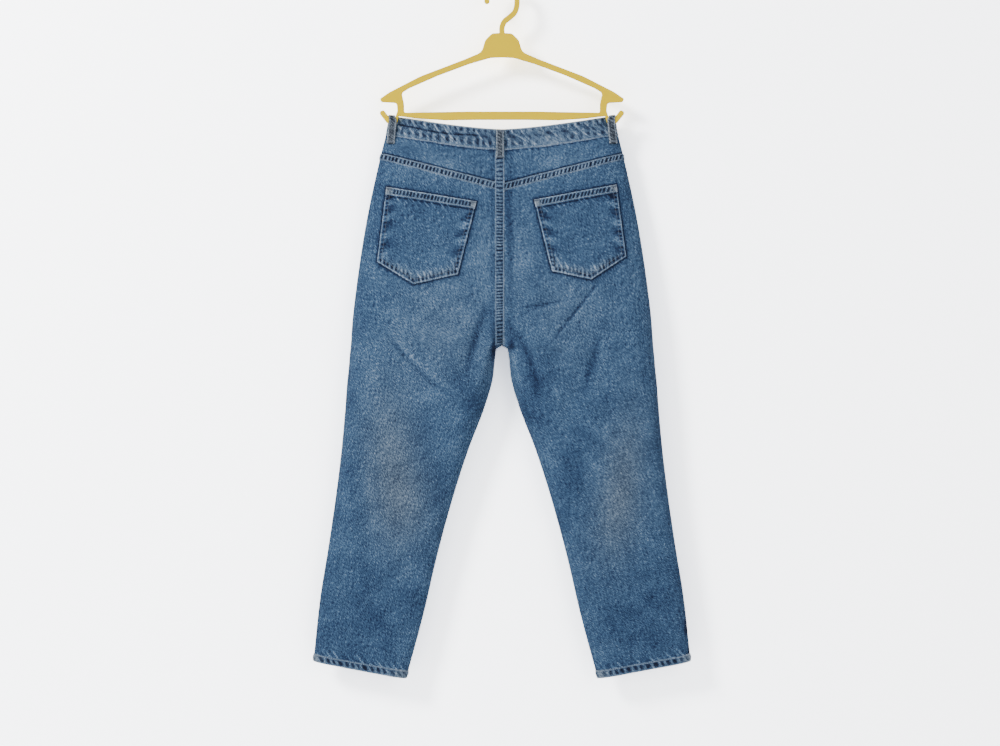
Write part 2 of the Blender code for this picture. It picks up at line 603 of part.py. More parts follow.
def add_button(materials, collection):
    """The shank button's domed head, a turned shape on the overlap at the centre front."""
    z = column_of("z_front")[:2].mean()
    drop, share = drop_at(np.array([BUTTON_X]), np.array([z]), "front")
    lift = WAISTBAND_PROUD + WAISTBAND_WALL + SEAM_GAP + LAYER_GAP
    seat = band_point(drop, share, "front", np.array([lift]))[0]
    shape = bmesh.new()
    profile = [Vector((r * BUTTON_RADIUS, 0, h * BUTTON_HEIGHT)) * MM for r, h in BUTTON_PROFILE]
    points = [shape.verts.new(place) for place in profile]
    edges = [shape.edges.new(pair) for pair in zip(points[:-1], points[1:])]
    bmesh.ops.spin(shape, geom=points + edges, cent=(0, 0, 0), axis=(0, 0, 1), angle=math.tau,
                   steps=BUTTON_SIDES)
    bmesh.ops.remove_doubles(shape, verts=shape.verts, dist=0.01 * MM)
    bmesh.ops.recalc_face_normals(shape, faces=shape.faces)
    mesh = bpy.data.meshes.new("waist_button")
    shape.to_mesh(mesh)
    shape.free()
    mesh.shade_smooth()
    mesh.set_sharp_from_angle(angle=math.radians(SHARP_DEGREES))
    button = add_object("waist_button", mesh, materials["button_metal"], collection)
    button.location = Vector(seat) * MM
    button.rotation_euler = (-math.pi / 2, 0, 0)


# A corner's arc takes at most this share of a side, and one with nearly straight sides has none.
MOST_OF_A_SIDE = 0.49
STRAIGHT_DEGREES = 89


def rounded(corners, steps=4):
    """A flat outline from rows of (x, z, radius): each corner becomes an arc that touches both its sides."""
    places = np.array([row[:2] for row in corners], float)
    outline = []
    for k, (x, z, radius) in enumerate(corners):
        here = places[k]
        back, ahead = places[k - 1] - here, places[(k + 1) % len(corners)] - here
        back_length, ahead_length = np.hypot(*back), np.hypot(*ahead)
        back, ahead = back / back_length, ahead / ahead_length
        half = math.acos(np.clip(back @ ahead, -1, 1)) / 2
        if radius == 0 or half > math.radians(STRAIGHT_DEGREES):
            outline.append(here)
            continue
        cut = min(radius / math.tan(half), MOST_OF_A_SIDE * min(back_length, ahead_length))
        r = cut * math.tan(half)
        centre = here + (back + ahead) / np.hypot(*(back + ahead)) * r / math.sin(half)
        first = np.arctan2(*(here + back * cut - centre)[::-1])
        last = np.arctan2(*(here + ahead * cut - centre)[::-1])
        turn = (last - first + math.pi) % math.tau - math.pi
        for t in np.linspace(0, 1, steps + 1):
            angle = first + turn * t
            outline.append(centre + r * np.array([math.cos(angle), math.sin(angle)]))
    return outline


# Corners of the hanger's right half, from the neck down to the middle of the trouser bar.
HANGER_RIM = (
    (17.0, -85.0, 9), (29.0, -97.0, 14), (35.0, -117.5, 16), (64.0, -129.8, 60),
    (140.0, -158.8, 120), (193.0, -186.0, 60), (210.5, -198.0, 3), (207.0, -203.2, 3), (181.0, -204.6, 5),
    (179.8, -218.5, 8), (183.2, -229.0, 3), (186.0, -232.4, 2), (191.5, -232.4, 3), (203.8, -216.4, 4),
    (212.0, -221.0, 4), (198.5, -238.5, 6), (190.5, -242.5, 5), (181.5, -241.0, 5), (177.2, -227.3, 0.8),
    (141.0, -231.6, 60), (98.0, -234.4, 60), (40.0, -233.6, 60),
)
# Corners of the right half of the opening under the arms.
HANGER_WINDOW = (
    (0.0, -126.2, 0), (20.0, -127.0, 30), (56.0, -137.5, 60), (110.0, -157.6, 90), (160.0, -179.5, 40),
    (172.6, -187.5, 6), (168.4, -206.0, 16), (168.2, -221.6, 3), (60.0, -219.6, 90),
)
# The hook's centreline from the neck up, where its bend to the round crown begins.
HOOK_STEM = ((0.0, -84.5), (0.0, -75.0), (4.0, -65.0), (13.5, -57.0), (22.0, -48.5), (25.6, -36.5))
HOOK_DEGREES = range(0, 181, 18)
HOOK_TIP_DROP = 8.5
TIP_DEGREES = range(-30, -151, -30)


def through(points, steps):
    """A smooth line through points: on each span a cubic whose end slopes follow the points on both sides."""
    p = np.array([points[0], *points, points[-1]], float)
    t = np.arange(steps)[:, None] / steps
    spans = [0.5 * (2 * b + (c - a) * t + (2 * a - 5 * b + 4 * c - d) * t**2 + (3 * b - a - 3 * c + d) * t**3)
             for a, b, c, d in zip(p, p[1:], p[2:], p[3:])]
    return [*np.concatenate(spans), p[-1]]


def hook_outline():
    """Both sides of the hook's ribbon and its round tip, from the neck's left side to its right side."""
    centre_z = HOOK_WIDTH / 2 - HOOK_RADIUS
    arc = [(HOOK_RADIUS * math.cos(math.radians(a)), centre_z + HOOK_RADIUS * math.sin(math.radians(a)))
           for a in HOOK_DEGREES]
    line = np.array([*through((*HOOK_STEM, arc[0]), 2)[:-1], *arc, (-HOOK_RADIUS, centre_z - HOOK_TIP_DROP)])
    along = np.gradient(line, axis=0)
    along[-1] = (0, -1)
    along[0] = (0, 1)
    along /= np.hypot(*along.T)[:, None]
    left = np.stack([-along[:, 1], along[:, 0]], axis=1) * HOOK_WIDTH / 2
    tip = [line[-1] + HOOK_WIDTH / 2 * np.array([math.cos(a), math.sin(a)]) for a in np.radians(TIP_DEGREES)]
    return [*(line + left), *tip, *(line - left)[::-1]]


def mirrored(outline):
    return [np.array([-p[0], p[1]]) for p in outline][::-1]


def half_outline(corners):
    """The rounded right half of a symmetric outline, rounded with its mirror image so that the ends fit."""
    whole = [*corners, *[(-x, z, r) for x, z, r in corners[::-1] if x > 0]]
    return [p for p in rounded(whole) if p[0] >= -TINY]


def add_hanger(materials, collection):
    """A flat moulding: one outline with the hook, one window, and softened edges."""
    right = half_outline(HANGER_RIM)
    rim = [*hook_outline(), *right, *mirrored(right)]
    window_right = half_outline(HANGER_WINDOW)
    window = [*window_right, *[p for p in mirrored(window_right) if p[0] < -TINY]]
    flat = bpy.data.curves.new("hanger", "CURVE")
    flat.dimensions = "2D"
    flat.fill_mode = "BOTH"
    flat.extrude = (HANGER_THICK / 2 - HANGER_EDGE) * MM
    flat.bevel_depth = HANGER_EDGE * MM
    flat.bevel_resolution = 0
    flat.offset = -HANGER_EDGE * MM
    for outline in (rim, window):
        spline = flat.splines.new("POLY")
        spline.points.add(len(outline) - 1)
        for point, (x, z) in zip(spline.points, outline):
            point.co = (x * MM, z * MM, 0, 1)
        spline.use_cyclic_u = True
    hanger = add_object("hanger", flat, materials["yellow_plastic"], collection)
    hanger.rotation_euler = (math.pi / 2, 0, 0)


def main():
    clear_scene()
    collection = bpy.data.collections.new("jeans_on_hanger")
    bpy.context.scene.collection.children.link(collection)
    materials = {name: make_material(name) for name in COLOURS}
    for side_name, side in (("left", -1), ("right", 1)):
        add_back_panel(side_name, side, materials, collection)
        add_yoke(side_name, side, materials, collection)
        add_front_panel(side_name, side, materials, collection)
        add_pocket_facing(side_name, side, materials, collection)
    for name in POCKET_CORNERS:
        add_back_pocket(name, materials, collection)
    add_fly(materials, collection)
    add_waistband(materials, collection)
    for name, face, top, bottom, path in LOOPS:
        add_loop(name, face, top, bottom, path, materials["denim_worn"], collection)
    add_button(materials, collection)
    add_hanger(materials, collection)


main()
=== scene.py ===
# %% [markdown]
# # Ankle-length jeans on a clothes hanger
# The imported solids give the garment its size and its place. Here each piece of cloth is made again on the
# same form as a finer wall, with the creases, puckers, stitches and wear of washed denim. Everything is
# worked out in millimetres, in the frame of the solids, and turned into metres only where a mesh is made.

# %% The frame
import math

import bpy
import numpy as np
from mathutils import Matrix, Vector


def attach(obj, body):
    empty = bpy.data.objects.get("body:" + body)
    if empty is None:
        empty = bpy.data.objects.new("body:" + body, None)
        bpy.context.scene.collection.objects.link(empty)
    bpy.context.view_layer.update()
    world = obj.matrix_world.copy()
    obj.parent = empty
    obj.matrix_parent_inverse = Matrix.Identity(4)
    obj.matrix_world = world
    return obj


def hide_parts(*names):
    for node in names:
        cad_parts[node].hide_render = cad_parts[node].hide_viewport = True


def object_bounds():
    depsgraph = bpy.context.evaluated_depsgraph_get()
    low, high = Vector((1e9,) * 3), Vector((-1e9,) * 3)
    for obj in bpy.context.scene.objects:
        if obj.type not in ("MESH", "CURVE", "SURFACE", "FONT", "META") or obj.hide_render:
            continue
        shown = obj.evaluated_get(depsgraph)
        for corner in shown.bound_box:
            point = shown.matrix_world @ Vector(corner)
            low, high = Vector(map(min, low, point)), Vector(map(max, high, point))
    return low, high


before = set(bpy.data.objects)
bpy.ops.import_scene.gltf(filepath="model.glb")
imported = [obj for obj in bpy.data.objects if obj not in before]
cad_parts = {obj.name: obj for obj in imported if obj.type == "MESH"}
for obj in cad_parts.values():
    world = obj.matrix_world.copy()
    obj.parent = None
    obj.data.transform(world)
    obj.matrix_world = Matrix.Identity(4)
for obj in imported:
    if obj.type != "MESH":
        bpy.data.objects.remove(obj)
solid_box = [list(corner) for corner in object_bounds()]
MM = 0.001
print("box of the solids, in metres:", solid_box)

# %% [markdown]
# ## Camera
# The photograph looks straight at the seat from a few metres away, so the lens is long and level. It is
# chosen so that 1000 pixels span 1.72 m at the plane of the hanger, which is the scale that the garment was
# measured at.

# %% Camera
MM_A_PIXEL = 1.72
PICTURE_WIDTH = 1000
PICTURE_CENTRE_X, PICTURE_CENTRE_Z = -3.4, -669.1
CAMERA_DISTANCE = 2600
SENSOR = 36

camera = bpy.data.objects.new("camera", bpy.data.cameras.new("camera"))
camera.location = Vector((PICTURE_CENTRE_X, -CAMERA_DISTANCE, PICTURE_CENTRE_Z)) * MM
camera.rotation_euler = (math.pi / 2, 0, 0)
camera.data.sensor_width = SENSOR
camera.data.lens = SENSOR * CAMERA_DISTANCE / (PICTURE_WIDTH * MM_A_PIXEL)
bpy.context.scene.collection.objects.link(camera)
bpy.context.scene.camera = camera
print("lens, in millimetres:", round(camera.data.lens, 1))

# %% [markdown]
# ## The garment's form
# Cloth that hangs nearly flat is easiest to describe by levels, as a pattern cutter marks them: waist, hip,
# knee, hem. Each row of this table is one level of the garment, and smooth curves through the columns give
# every place between them. It is the same form that the solids have, so each finer piece lies where its
# solid lies.

# %% Levels
DENIM, WAISTBAND_WALL, WAISTBAND_PROUD = 1.5, 2.6, 0.6
SEAM_GAP, SEAM_TUCK, LAYER_GAP = 0.3, 1.0, 0.45
SECTION_COLUMNS = ("level", "z_side", "x_side", "z_back", "z_front", "x_inner", "neck",
                   "deep_back", "deep_front", "y_seam", "square", "dip")
SECTIONS = (
    ("waist top", -225.0, 194.5, -249.4, -285.0, 0.0, 1.00, 12.5, 12.5, 14.5, 10.0, 1.40),
    ("waist seam", -259.3, 201.0, -286.9, -322.5, 0.0, 1.00, 14.0, 14.0, 13.5, 9.0, 1.35),
    ("yoke seam", -289.8, 208.5, -343.3, -362.0, 0.0, 1.00, 18.0, 17.0, 11.5, 7.0, 1.00),
    ("hip", -414.0, 234.8, -448.4, -452.0, 0.0, 1.00, 23.0, 20.0, 8.0, 5.0, 1.00),
    ("seat", -517.2, 250.3, -537.8, -540.0, 0.0, 1.00, 26.0, 22.0, 5.0, 5.0, 1.00),
    ("crotch curve", -578.0, 257.3, -577.4, -584.0, 0.0, 0.97, 27.0, 22.5, 3.5, 5.0, 1.00),
    ("crotch point", -629.0, 261.0, -622.5, -622.5, 0.0, 0.00, 27.0, 22.5, 3.0, 5.0, 1.00),
    ("fork", -638.0, 262.0, -626.5, -626.5, 8.6, 0.00, 26.8, 22.3, 2.8, 5.0, 1.00),
    ("under fork", -656.0, 263.4, -642.0, -642.0, 11.6, 0.00, 26.5, 22.0, 2.5, 5.0, 1.00),
    ("upper thigh", -688.0, 266.6, -675.0, -675.0, 15.0, 0.00, 26.0, 21.5, 2.0, 5.0, 1.00),
    ("thigh", -732.0, 269.8, -724.0, -724.0, 28.4, 0.00, 25.0, 21.0, 1.8, 5.0, 1.00),
    ("low thigh", -801.0, 276.0, -801.0, -801.0, 57.6, 0.00, 23.0, 20.0, 1.4, 5.0, 1.00),
    ("knee", -870.0, 284.3, -878.4, -878.4, 82.6, 0.00, 20.0, 18.5, 1.0, 5.0, 1.00),
    ("calf", -964.4, 297.9, -981.6, -981.6, 110.9, 0.00, 17.0, 16.0, 0.6, 5.5, 1.00),
    ("ankle", -1060.7, 313.2, -1084.8, -1084.8, 135.0, 0.00, 14.0, 13.5, 0.3, 6.0, 1.00),
    ("hem", -1164.0, 324.2, -1194.0, -1194.0, 164.5, 0.00, 12.0, 11.5, 0.0, 6.0, 1.00),
)
LEVELS = [row[0] for row in SECTIONS]
TINY, ON_CENTRE = 1e-9, 1e-12


def column_of(name):
    """One column of the table, as an array."""
    return np.array([row[SECTION_COLUMNS.index(name)] for row in SECTIONS], float)


def summed(steps):
    """Distances from the start of a line: zero, and then the running sum of its steps."""
    return np.concatenate([[0.0], np.cumsum(steps)])


DROP = summed(-np.diff(column_of("z_side") + column_of("z_back")) / 2)


def drop_of(level):
    """How far down the garment a level lies: a level's name, or its number with a fraction."""
    number = LEVELS.index(level) if isinstance(level, str) else level
    return float(np.interp(number, range(len(LEVELS)), DROP))


WAIST, YOKE_SEAM, CROTCH = (drop_of(level) for level in ("waist seam", "yoke seam", "crotch point"))
HEM = float(DROP[-1])
print("the hem lies", round(HEM), "mm below the waist's edge")


# %% A curve through the table
def monotone(at, places, values):
    """Cubic interpolation that never overshoots: each slope is a harmonic mean of the rises beside it."""
    places, values = np.asarray(places, float), np.asarray(values, float)
    steps = np.diff(places)
    rises = np.diff(values) / steps
    slopes = np.zeros_like(values)
    near, far = 2 * steps[1:] + steps[:-1], steps[1:] + 2 * steps[:-1]
    with np.errstate(divide="ignore", invalid="ignore"):
        inner = (near + far) / (near / rises[:-1] + far / rises[1:])
    slopes[1:-1] = np.where(rises[:-1] * rises[1:] > 0, inner, 0.0)
    slopes[0], slopes[-1] = rises[0], rises[-1]
    at = np.clip(at, places[0], places[-1])
    k = np.clip(np.searchsorted(places, at, side="right") - 1, 0, len(steps) - 1)
    h, t = steps[k], (at - places[k]) / steps[k]
    return ((2 * t**3 - 3 * t**2 + 1) * values[k] + (t**3 - 2 * t**2 + t) * h * slopes[k]
            + (3 * t**2 - 2 * t**3) * values[k + 1] + (t**3 - t**2) * h * slopes[k + 1])


def section_at(drop, face):
    """The table's values at these drops, for the back or the front of the garment."""
    named = {"z_inner": f"z_{face}", "deep": f"deep_{face}"}
    wanted = ("z_side", "x_side", "z_inner", "x_inner", "neck", "deep", "y_seam", "square", "dip")
    return {key: monotone(drop, DROP, column_of(named.get(key, key))) for key in wanted}


# %% [markdown]
# ## The surface
# A place on the cloth is given by a drop, down the garment, and a share, across it: 0 at the centre seam or
# the inseam and 1 at the side seam, below zero on the wearer's left. Across, the cloth keeps its depth and
# then turns over quickly at the side, as a rounded slab does.

# %% Points and normals
HALVINGS = 30


def base_point(drop, share, face):
    """x runs evenly from the inner end to the side. The depth is the root of 1 - u ** square, times deep."""
    s = section_at(drop, face)
    w = np.abs(share)
    start = (1 - s["neck"] ** 2) ** (1 / s["square"])
    u = -start + (1 + start) * w
    depth = s["deep"] * np.sqrt(np.clip(1 - np.abs(u) ** s["square"], 0, None))
    x = np.where(share < 0, -1.0, 1.0) * (s["x_inner"] + (s["x_side"] - s["x_inner"]) * w)
    y = s["y_seam"] + (-1.0 if face == "back" else 1.0) * depth
    z = s["z_inner"] + (s["z_side"] - s["z_inner"]) * w ** s["dip"]
    return np.stack([x, y + 0 * w, z + 0 * w], axis=-1)


def base_normal(drop, share, face):
    """The cross product of the surface's slopes down and across. On a seam it lies in the seam's plane."""
    step_down, step_across = 0.6, 0.0006
    w = np.abs(share)
    low, high = np.clip(w - step_across, 0, 1), np.clip(w + step_across, 0, 1)
    down = base_point(drop + step_down, w, face) - base_point(drop - step_down, w, face)
    across = base_point(drop, high, face) - base_point(drop, low, face)
    n = np.cross(down, across) if face == "back" else np.cross(across, down)
    s = section_at(drop, face)
    n[..., 1] = np.where(w > 1 - TINY, 0.0, n[..., 1])
    n[..., 1] = np.where((w < TINY) & (s["neck"] < TINY), 0.0, n[..., 1])
    n[..., 0] = np.where((w < TINY) & (s["x_inner"] < TINY), 0.0, n[..., 0])
    length = np.linalg.norm(n, axis=-1, keepdims=True)
    n = np.where(length > TINY, n / np.maximum(length, TINY), [0.0, 0.0, -1.0])
    n[..., 0] *= np.where(share < 0, -1.0, 1.0)
    return n


def drop_at(x, z, face):
    """The drop and share at which the surface, seen from in front, lies at (x, z), found by halving."""
    low, high = np.zeros_like(x), np.full_like(x, HEM)
    for _ in range(HALVINGS):
        middle = (low + high) / 2
        s = section_at(middle, face)
        w = np.clip((np.abs(x) - s["x_inner"]) / (s["x_side"] - s["x_inner"]), 0, 1)
        above = s["z_inner"] + (s["z_side"] - s["z_inner"]) * w ** s["dip"] > z
        low, high = np.where(above, middle, low), np.where(above, high, middle)
    return low, w * np.where(x < 0, -1, 1)


# %% Even steps across
# Shares that crowd together at both ends, where the surface turns over quickly.
DENSE = (1 - np.cos(np.linspace(0, math.pi, 241))) / 2


def even_shares(drops, arc_shares, face):
    """Shares whose arc lengths from the inner end are these parts of each row's whole, and the whole."""
    rows = base_point(drops[:, None], DENSE[None, :], face)
    steps = np.linalg.norm(np.diff(rows, axis=1), axis=2)
    run = np.concatenate([np.zeros((len(drops), 1)), np.cumsum(steps, axis=1)], axis=1)
    arcs = np.broadcast_to(arc_shares, (len(drops), np.shape(arc_shares)[-1]))
    found = np.stack([np.interp(a * r[-1], r, DENSE) for a, r in zip(arcs, run)])
    return np.where(arcs >= 1, 1.0, found), run[:, -1]


def even_drops(top, bottom, step):
    """Drops from the top to the bottom, evenly spaced by no more than the step."""
    return np.linspace(top, bottom, int((bottom - top) / step) + 2)


# The fronts are cut from the roll below the backs, so no pattern in the cloth is mirrored at a side seam.
CUT_BELOW = {"back": 0.0, "front": 1300.0}


def panel_grid(drops, face, side, step, first=0.0, last=1.0):
    """Drops, signed shares and the cloth's own places (across, down) on an even grid over part of a leg."""
    widest = even_shares(drops, [1.0], face)[1].max()
    count = int(widest * (np.max(last) - np.min(first)) / step) + 2
    first, last = (np.broadcast_to(np.asarray(v, float), drops.shape)[:, None] for v in (first, last))
    arcs = first + (last - first) * np.linspace(0, 1, count)
    shares, whole = even_shares(drops, arcs, face)
    down = drops[:, None] + 0 * arcs
    places = np.stack([side * arcs * whole[:, None], down + CUT_BELOW[face]], axis=-1)
    return down, side * np.maximum(shares, ON_CENTRE), places


# %% [markdown]
# ## Folds and creases
# A fold in heavy cloth is a long soft trough or ridge, deepest in the middle and lost at both ends. The
# first table holds the large folds, which the solids have too. The second holds the finer creases, each a
# gentle bow through three places, with its width, its height and its shade along a narrower line: darker in
# a trough, which is painted shade, and paler on a ridge, which is wear and a painted highlight together.

# %% Tables of folds and creases
FOLD_SIDE_FADE, FOLD_INNER_FADE, FOLD_END_POWER = 0.12, 0.06, 2.5
FOLD_COLUMNS = ("face", "x_from", "z_from", "x_to", "z_to", "width", "height")
FOLDS = (
    ("back", -22, -548, -78, -700, 15, -3.2),
    ("back", -10, -590, -52, -716, 11, 2.2),
    ("back", -196, -600, -106, -690, 9, -1.6),
    ("back", 162, -509, 84, -620, 8, -2.4),
    ("back", 44, -556, 118, -538, 9, -1.6),
    ("back", 162, -602, 106, -776, 17, -2.8),
    ("back", 10, -598, 66, -700, 14, -2.6),
    ("back", -120, -800, -170, -950, 26, 2.2),
    ("back", 180, -820, 225, -960, 24, 2.2),
    ("back", -225, -700, -245, -860, 16, -1.6),
    ("front", -30, -560, -120, -668, 14, -3.0),
    ("front", 26, -566, 104, -690, 13, -2.8),
    ("front", -60, -520, -176, -560, 12, -1.8),
    ("front", 66, -530, 190, -578, 12, -1.8),
    ("front", -110, -830, -190, -880, 16, 2.0),
    ("front", 120, -850, 205, -890, 16, 2.0),
    ("front", 150, -930, 175, -1080, 15, -1.6),
    ("front", -170, -940, -205, -1090, 15, -1.6),
)
CREASE_COLUMNS = ("face", "x_from", "z_from", "x_mid", "z_mid", "x_to", "z_to", "width", "height", "shade")
CREASES = (
    ("back", 168, -508, 124, -566, 80, -622, 3.6, -2.4, -0.72),
    ("back", 160, -518, 117, -578, 76, -628, 5.5, 1.4, 0.24),
    ("back", 30, -556, 76, -551, 116, -538, 3.0, -1.4, -0.36),
    ("back", 34, -564, 78, -559, 118, -546, 4.0, 0.8, 0.16),
    ("back", 22, -566, 44, -566, 62, -552, 4.0, -0.6, -0.18),
    ("back", 164, -596, 156, -642, 136, -712, 8.0, -1.4, -0.40),
    ("back", 12, -590, 42, -634, 62, -716, 8.0, -1.6, -0.46),
    ("back", 2, -606, 18, -640, 34, -700, 5.0, 1.2, 0.24),
    ("back", -22, -548, -42, -600, -62, -680, 8.0, -1.6, -0.46),
    ("back", -12, -586, -26, -640, -46, -704, 6.0, 0.8, 0.14),
    ("back", -212, -574, -140, -654, -66, -706, 3.2, 1.6, 0.25),
    ("back", -206, -584, -146, -662, -74, -714, 4.0, -1.4, -0.24),
    ("back", -204, -570, -150, -626, -120, -652, 3.0, -0.5, -0.14),
    ("back", -256, -600, -236, -602, -212, -598, 3.0, 0.5, 0.14),
    ("back", -142, -590, -116, -566, -84, -545, 4.5, -0.6, -0.15),
    ("back", -160, -690, -128, -712, -96, -720, 5.0, 0.5, 0.12),
    ("back", -150, -640, -118, -672, -92, -684, 4.0, -0.6, -0.12),
    ("back", -26, -360, -12, -350, -4, -338, 3.0, -0.5, -0.12),
    ("back", -34, -352, -22, -334, -12, -326, 3.0, 0.4, 0.14),
    ("back", 60, -660, 86, -690, 98, -740, 7.0, 0.6, 0.10),
    ("back", 176, -700, 190, -760, 214, -820, 8.0, -0.7, -0.12),
    ("back", 232, -560, 240, -640, 246, -720, 7.0, -0.6, -0.10),
    ("back", -236, -790, -226, -850, -222, -930, 8.0, -0.7, -0.10),
    ("back", -150, -900, -168, -960, -196, -1010, 9.0, 0.7, 0.06),
    ("back", 170, -930, 196, -990, 204, -1060, 9.0, 0.7, 0.06),
    ("back", -284, -1080, -262, -1108, -240, -1122, 5.0, 0.5, 0.06),
    ("back", 300, -1088, 282, -1112, 268, -1140, 5.0, -0.5, -0.08),
    ("front", -14, -566, -60, -610, -122, -640, 5.0, -1.2, -0.22),
    ("front", 14, -570, 58, -606, 110, -640, 5.0, -1.2, -0.22),
    ("front", -20, -590, -60, -640, -100, -700, 5.0, 0.8, 0.18),
    ("front", 20, -596, 52, -640, 88, -700, 5.0, 0.8, 0.18),
    ("front", -40, -500, -110, -530, -190, -540, 5.0, -0.8, -0.14),
    ("front", 46, -508, 120, -536, 196, -556, 5.0, -0.8, -0.14),
    ("front", -110, -846, -160, -862, -214, -858, 6.0, -0.9, -0.16),
    ("front", 122, -862, 170, -880, 226, -868, 6.0, -0.9, -0.16),
    ("front", -118, -900, -166, -912, -220, -900, 6.0, 0.7, 0.12),
    ("front", 130, -916, 178, -926, 232, -912, 6.0, 0.7, 0.12),
)
print(len(FOLDS), "folds and", len(CREASES), "creases")


# %% Soft shapes, and rows of a table
def bell(distance, width):
    """1 at no distance, falling off as the exponential of minus the square of distance over width."""
    return np.exp(-((distance / width) ** 2))


def smooth(t):
    """A step from 0 to 1 that starts and ends level."""
    t = np.clip(t, 0, 1)
    return t * t * (3 - 2 * t)


def faded_ends(along):
    """1 in the middle of a line and 0 at both its ends: one less a power of the distance from the middle."""
    return np.clip(1 - np.abs(2 * along - 1) ** FOLD_END_POWER, 0, None)


def rows_for(face, columns, table):
    """The table's rows for one face of the garment, each with its columns' names."""
    named = (dict(zip(columns, row)) for row in table)
    return [row for row in named if row["face"] == face]


# %% Heights of folds and creases
PAINTED_LINE_SHARE = 0.8


def fold_height(points, face):
    """The sum of the folds: each is a bell across a straight line, faded at its ends."""
    total = np.zeros(points.shape[:-1])
    for fold in rows_for(face, FOLD_COLUMNS, FOLDS):
        start = np.array([fold["x_from"], fold["z_from"]], float)
        run = np.array([fold["x_to"], fold["z_to"]], float) - start
        length = np.hypot(*run)
        offset = points[..., [0, 2]] - start
        along = offset @ run / length**2
        across = (offset[..., 0] * run[1] - offset[..., 1] * run[0]) / length
        total += fold["height"] * faded_ends(along) * bell(across, fold["width"])
    return total


def to_line(points, line):
    """Distance of flat points from a chain of straight runs, and their place along the chain, 0 to 1."""
    best = np.full(points.shape[:-1], np.inf)
    along = np.zeros(points.shape[:-1])
    lengths = np.linalg.norm(np.diff(line, axis=0), axis=1)
    starts = summed(lengths)
    for here, ahead, length, start in zip(line[:-1], line[1:], lengths, starts):
        t = np.clip((points - here) @ (ahead - here) / length**2, 0, 1)
        gap = np.linalg.norm(points - (here + t[..., None] * (ahead - here)), axis=-1)
        along = np.where(gap < best, (start + t * length) / starts[-1], along)
        best = np.minimum(best, gap)
    return best, along


def crease_relief(points, face):
    """Heights and shades of the creases: a bell across each bow, and a narrower one for its painted line."""
    height, shade = np.zeros(points.shape[:-1]), np.zeros(points.shape[:-1])
    t = np.linspace(0, 1, 8)[:, None]
    flat = points[..., [0, 2]]
    for crease in rows_for(face, CREASE_COLUMNS, CREASES):
        a, b, c = (np.array([crease["x_" + k], crease["z_" + k]], float) for k in ("from", "mid", "to"))
        bow = (1 - t) * (1 - 2 * t) * a + 4 * t * (1 - t) * b + t * (2 * t - 1) * c
        gap, along = to_line(flat, bow)
        fade = faded_ends(along)
        height += crease["height"] * fade * bell(gap, crease["width"])
        # The line is painted shade in a trough, and wear with a painted highlight on a ridge.
        shade += crease["shade"] * fade * bell(gap, PAINTED_LINE_SHARE * crease["width"])
    return height, shade


# %% [markdown]
# ## Slack and puckers
# Between its folds, washed denim is never quite flat. A few long sine waves in different directions stand
# for that slack. Along a seam the thread draws the cloth up, and the cloth between two rows of stitches
# puckers into a ladder of short slanted ridges. Washing then wears the ridges pale and leaves the hollows
# dark.

# %% Slack and puckers
SLACK_WAVES, SLACK_HEIGHT = 14, 0.16
chance = np.random.default_rng(20261201)
WAVE_LENGTHS = chance.uniform(26, 95, SLACK_WAVES)
WAVE_ANGLES = chance.uniform(0, math.tau, SLACK_WAVES)
WAVE_STARTS = chance.uniform(0, math.tau, SLACK_WAVES)
CELL_TABLE = chance.uniform(0, 1, (4, 997))
SEED_SHIFT = 17.3


def slack(points):
    """The sum of long low waves over x and z, each of one length, direction and start."""
    x, z = points[..., 0], points[..., 2]
    total = np.zeros(points.shape[:-1])
    for length, angle, start in zip(WAVE_LENGTHS, WAVE_ANGLES, WAVE_STARTS):
        total += np.sin((x * math.cos(angle) + z * math.sin(angle)) * math.tau / length + start)
    return SLACK_HEIGHT * total


def cells(run, across, pitch, slant, seed, waver=(0.0, 0.0)):
    """Cells of one pitch along a seam, slanted by across: the place in the cell, and its two own numbers.

    Two sine waves of these sizes stretch and squeeze the cells. The numbers come from a fixed table.
    """
    q = (run - slant * across) / pitch + seed * SEED_SHIFT
    q = q + waver[0] * np.sin(q * 1.7 + seed) + waver[1] * np.sin(q * 0.61 + 2 * seed)
    cell = np.floor(q).astype(int) % CELL_TABLE.shape[1]
    return q - np.floor(q), CELL_TABLE[seed % 4, cell], CELL_TABLE[(seed + 1) % 4, cell]


def puckers(run, across, pitch, slant, seed, least=0.35):
    """Ridges from 0 to 1 along a seam: a raised cosine in each cell, each with its own height."""
    place, tall, _ = cells(run, across, pitch, slant, seed, waver=(0.22, 0.16))
    ridge = 0.5 - 0.5 * np.cos(math.tau * place)
    return ridge * (least + (1 - least) * tall)


def hollows(run, across, pitch, slant, seed, share=0.5):
    """Rounded dark hollows from 0 to 1, one in each cell, each with its own depth and width."""
    place, depth, width = cells(run, across, pitch, slant, seed, waver=(0.10, 0.10))
    reach = share * (0.80 + 0.4 * width) / 2
    inside = smooth((reach + 0.16 - np.abs(place - 0.5)) / 0.32)
    return inside * (0.60 + 0.40 * depth)


def hairs(run, across, pitch, slant, seed, width=1.1):
    """Thin worn lines from 0 to 1 along slanted creases: one in each cell, at a place of its own."""
    place, start, strength = cells(run, across, pitch, slant, seed)
    return strength * bell((place - 0.2 - 0.6 * start) * pitch, width)
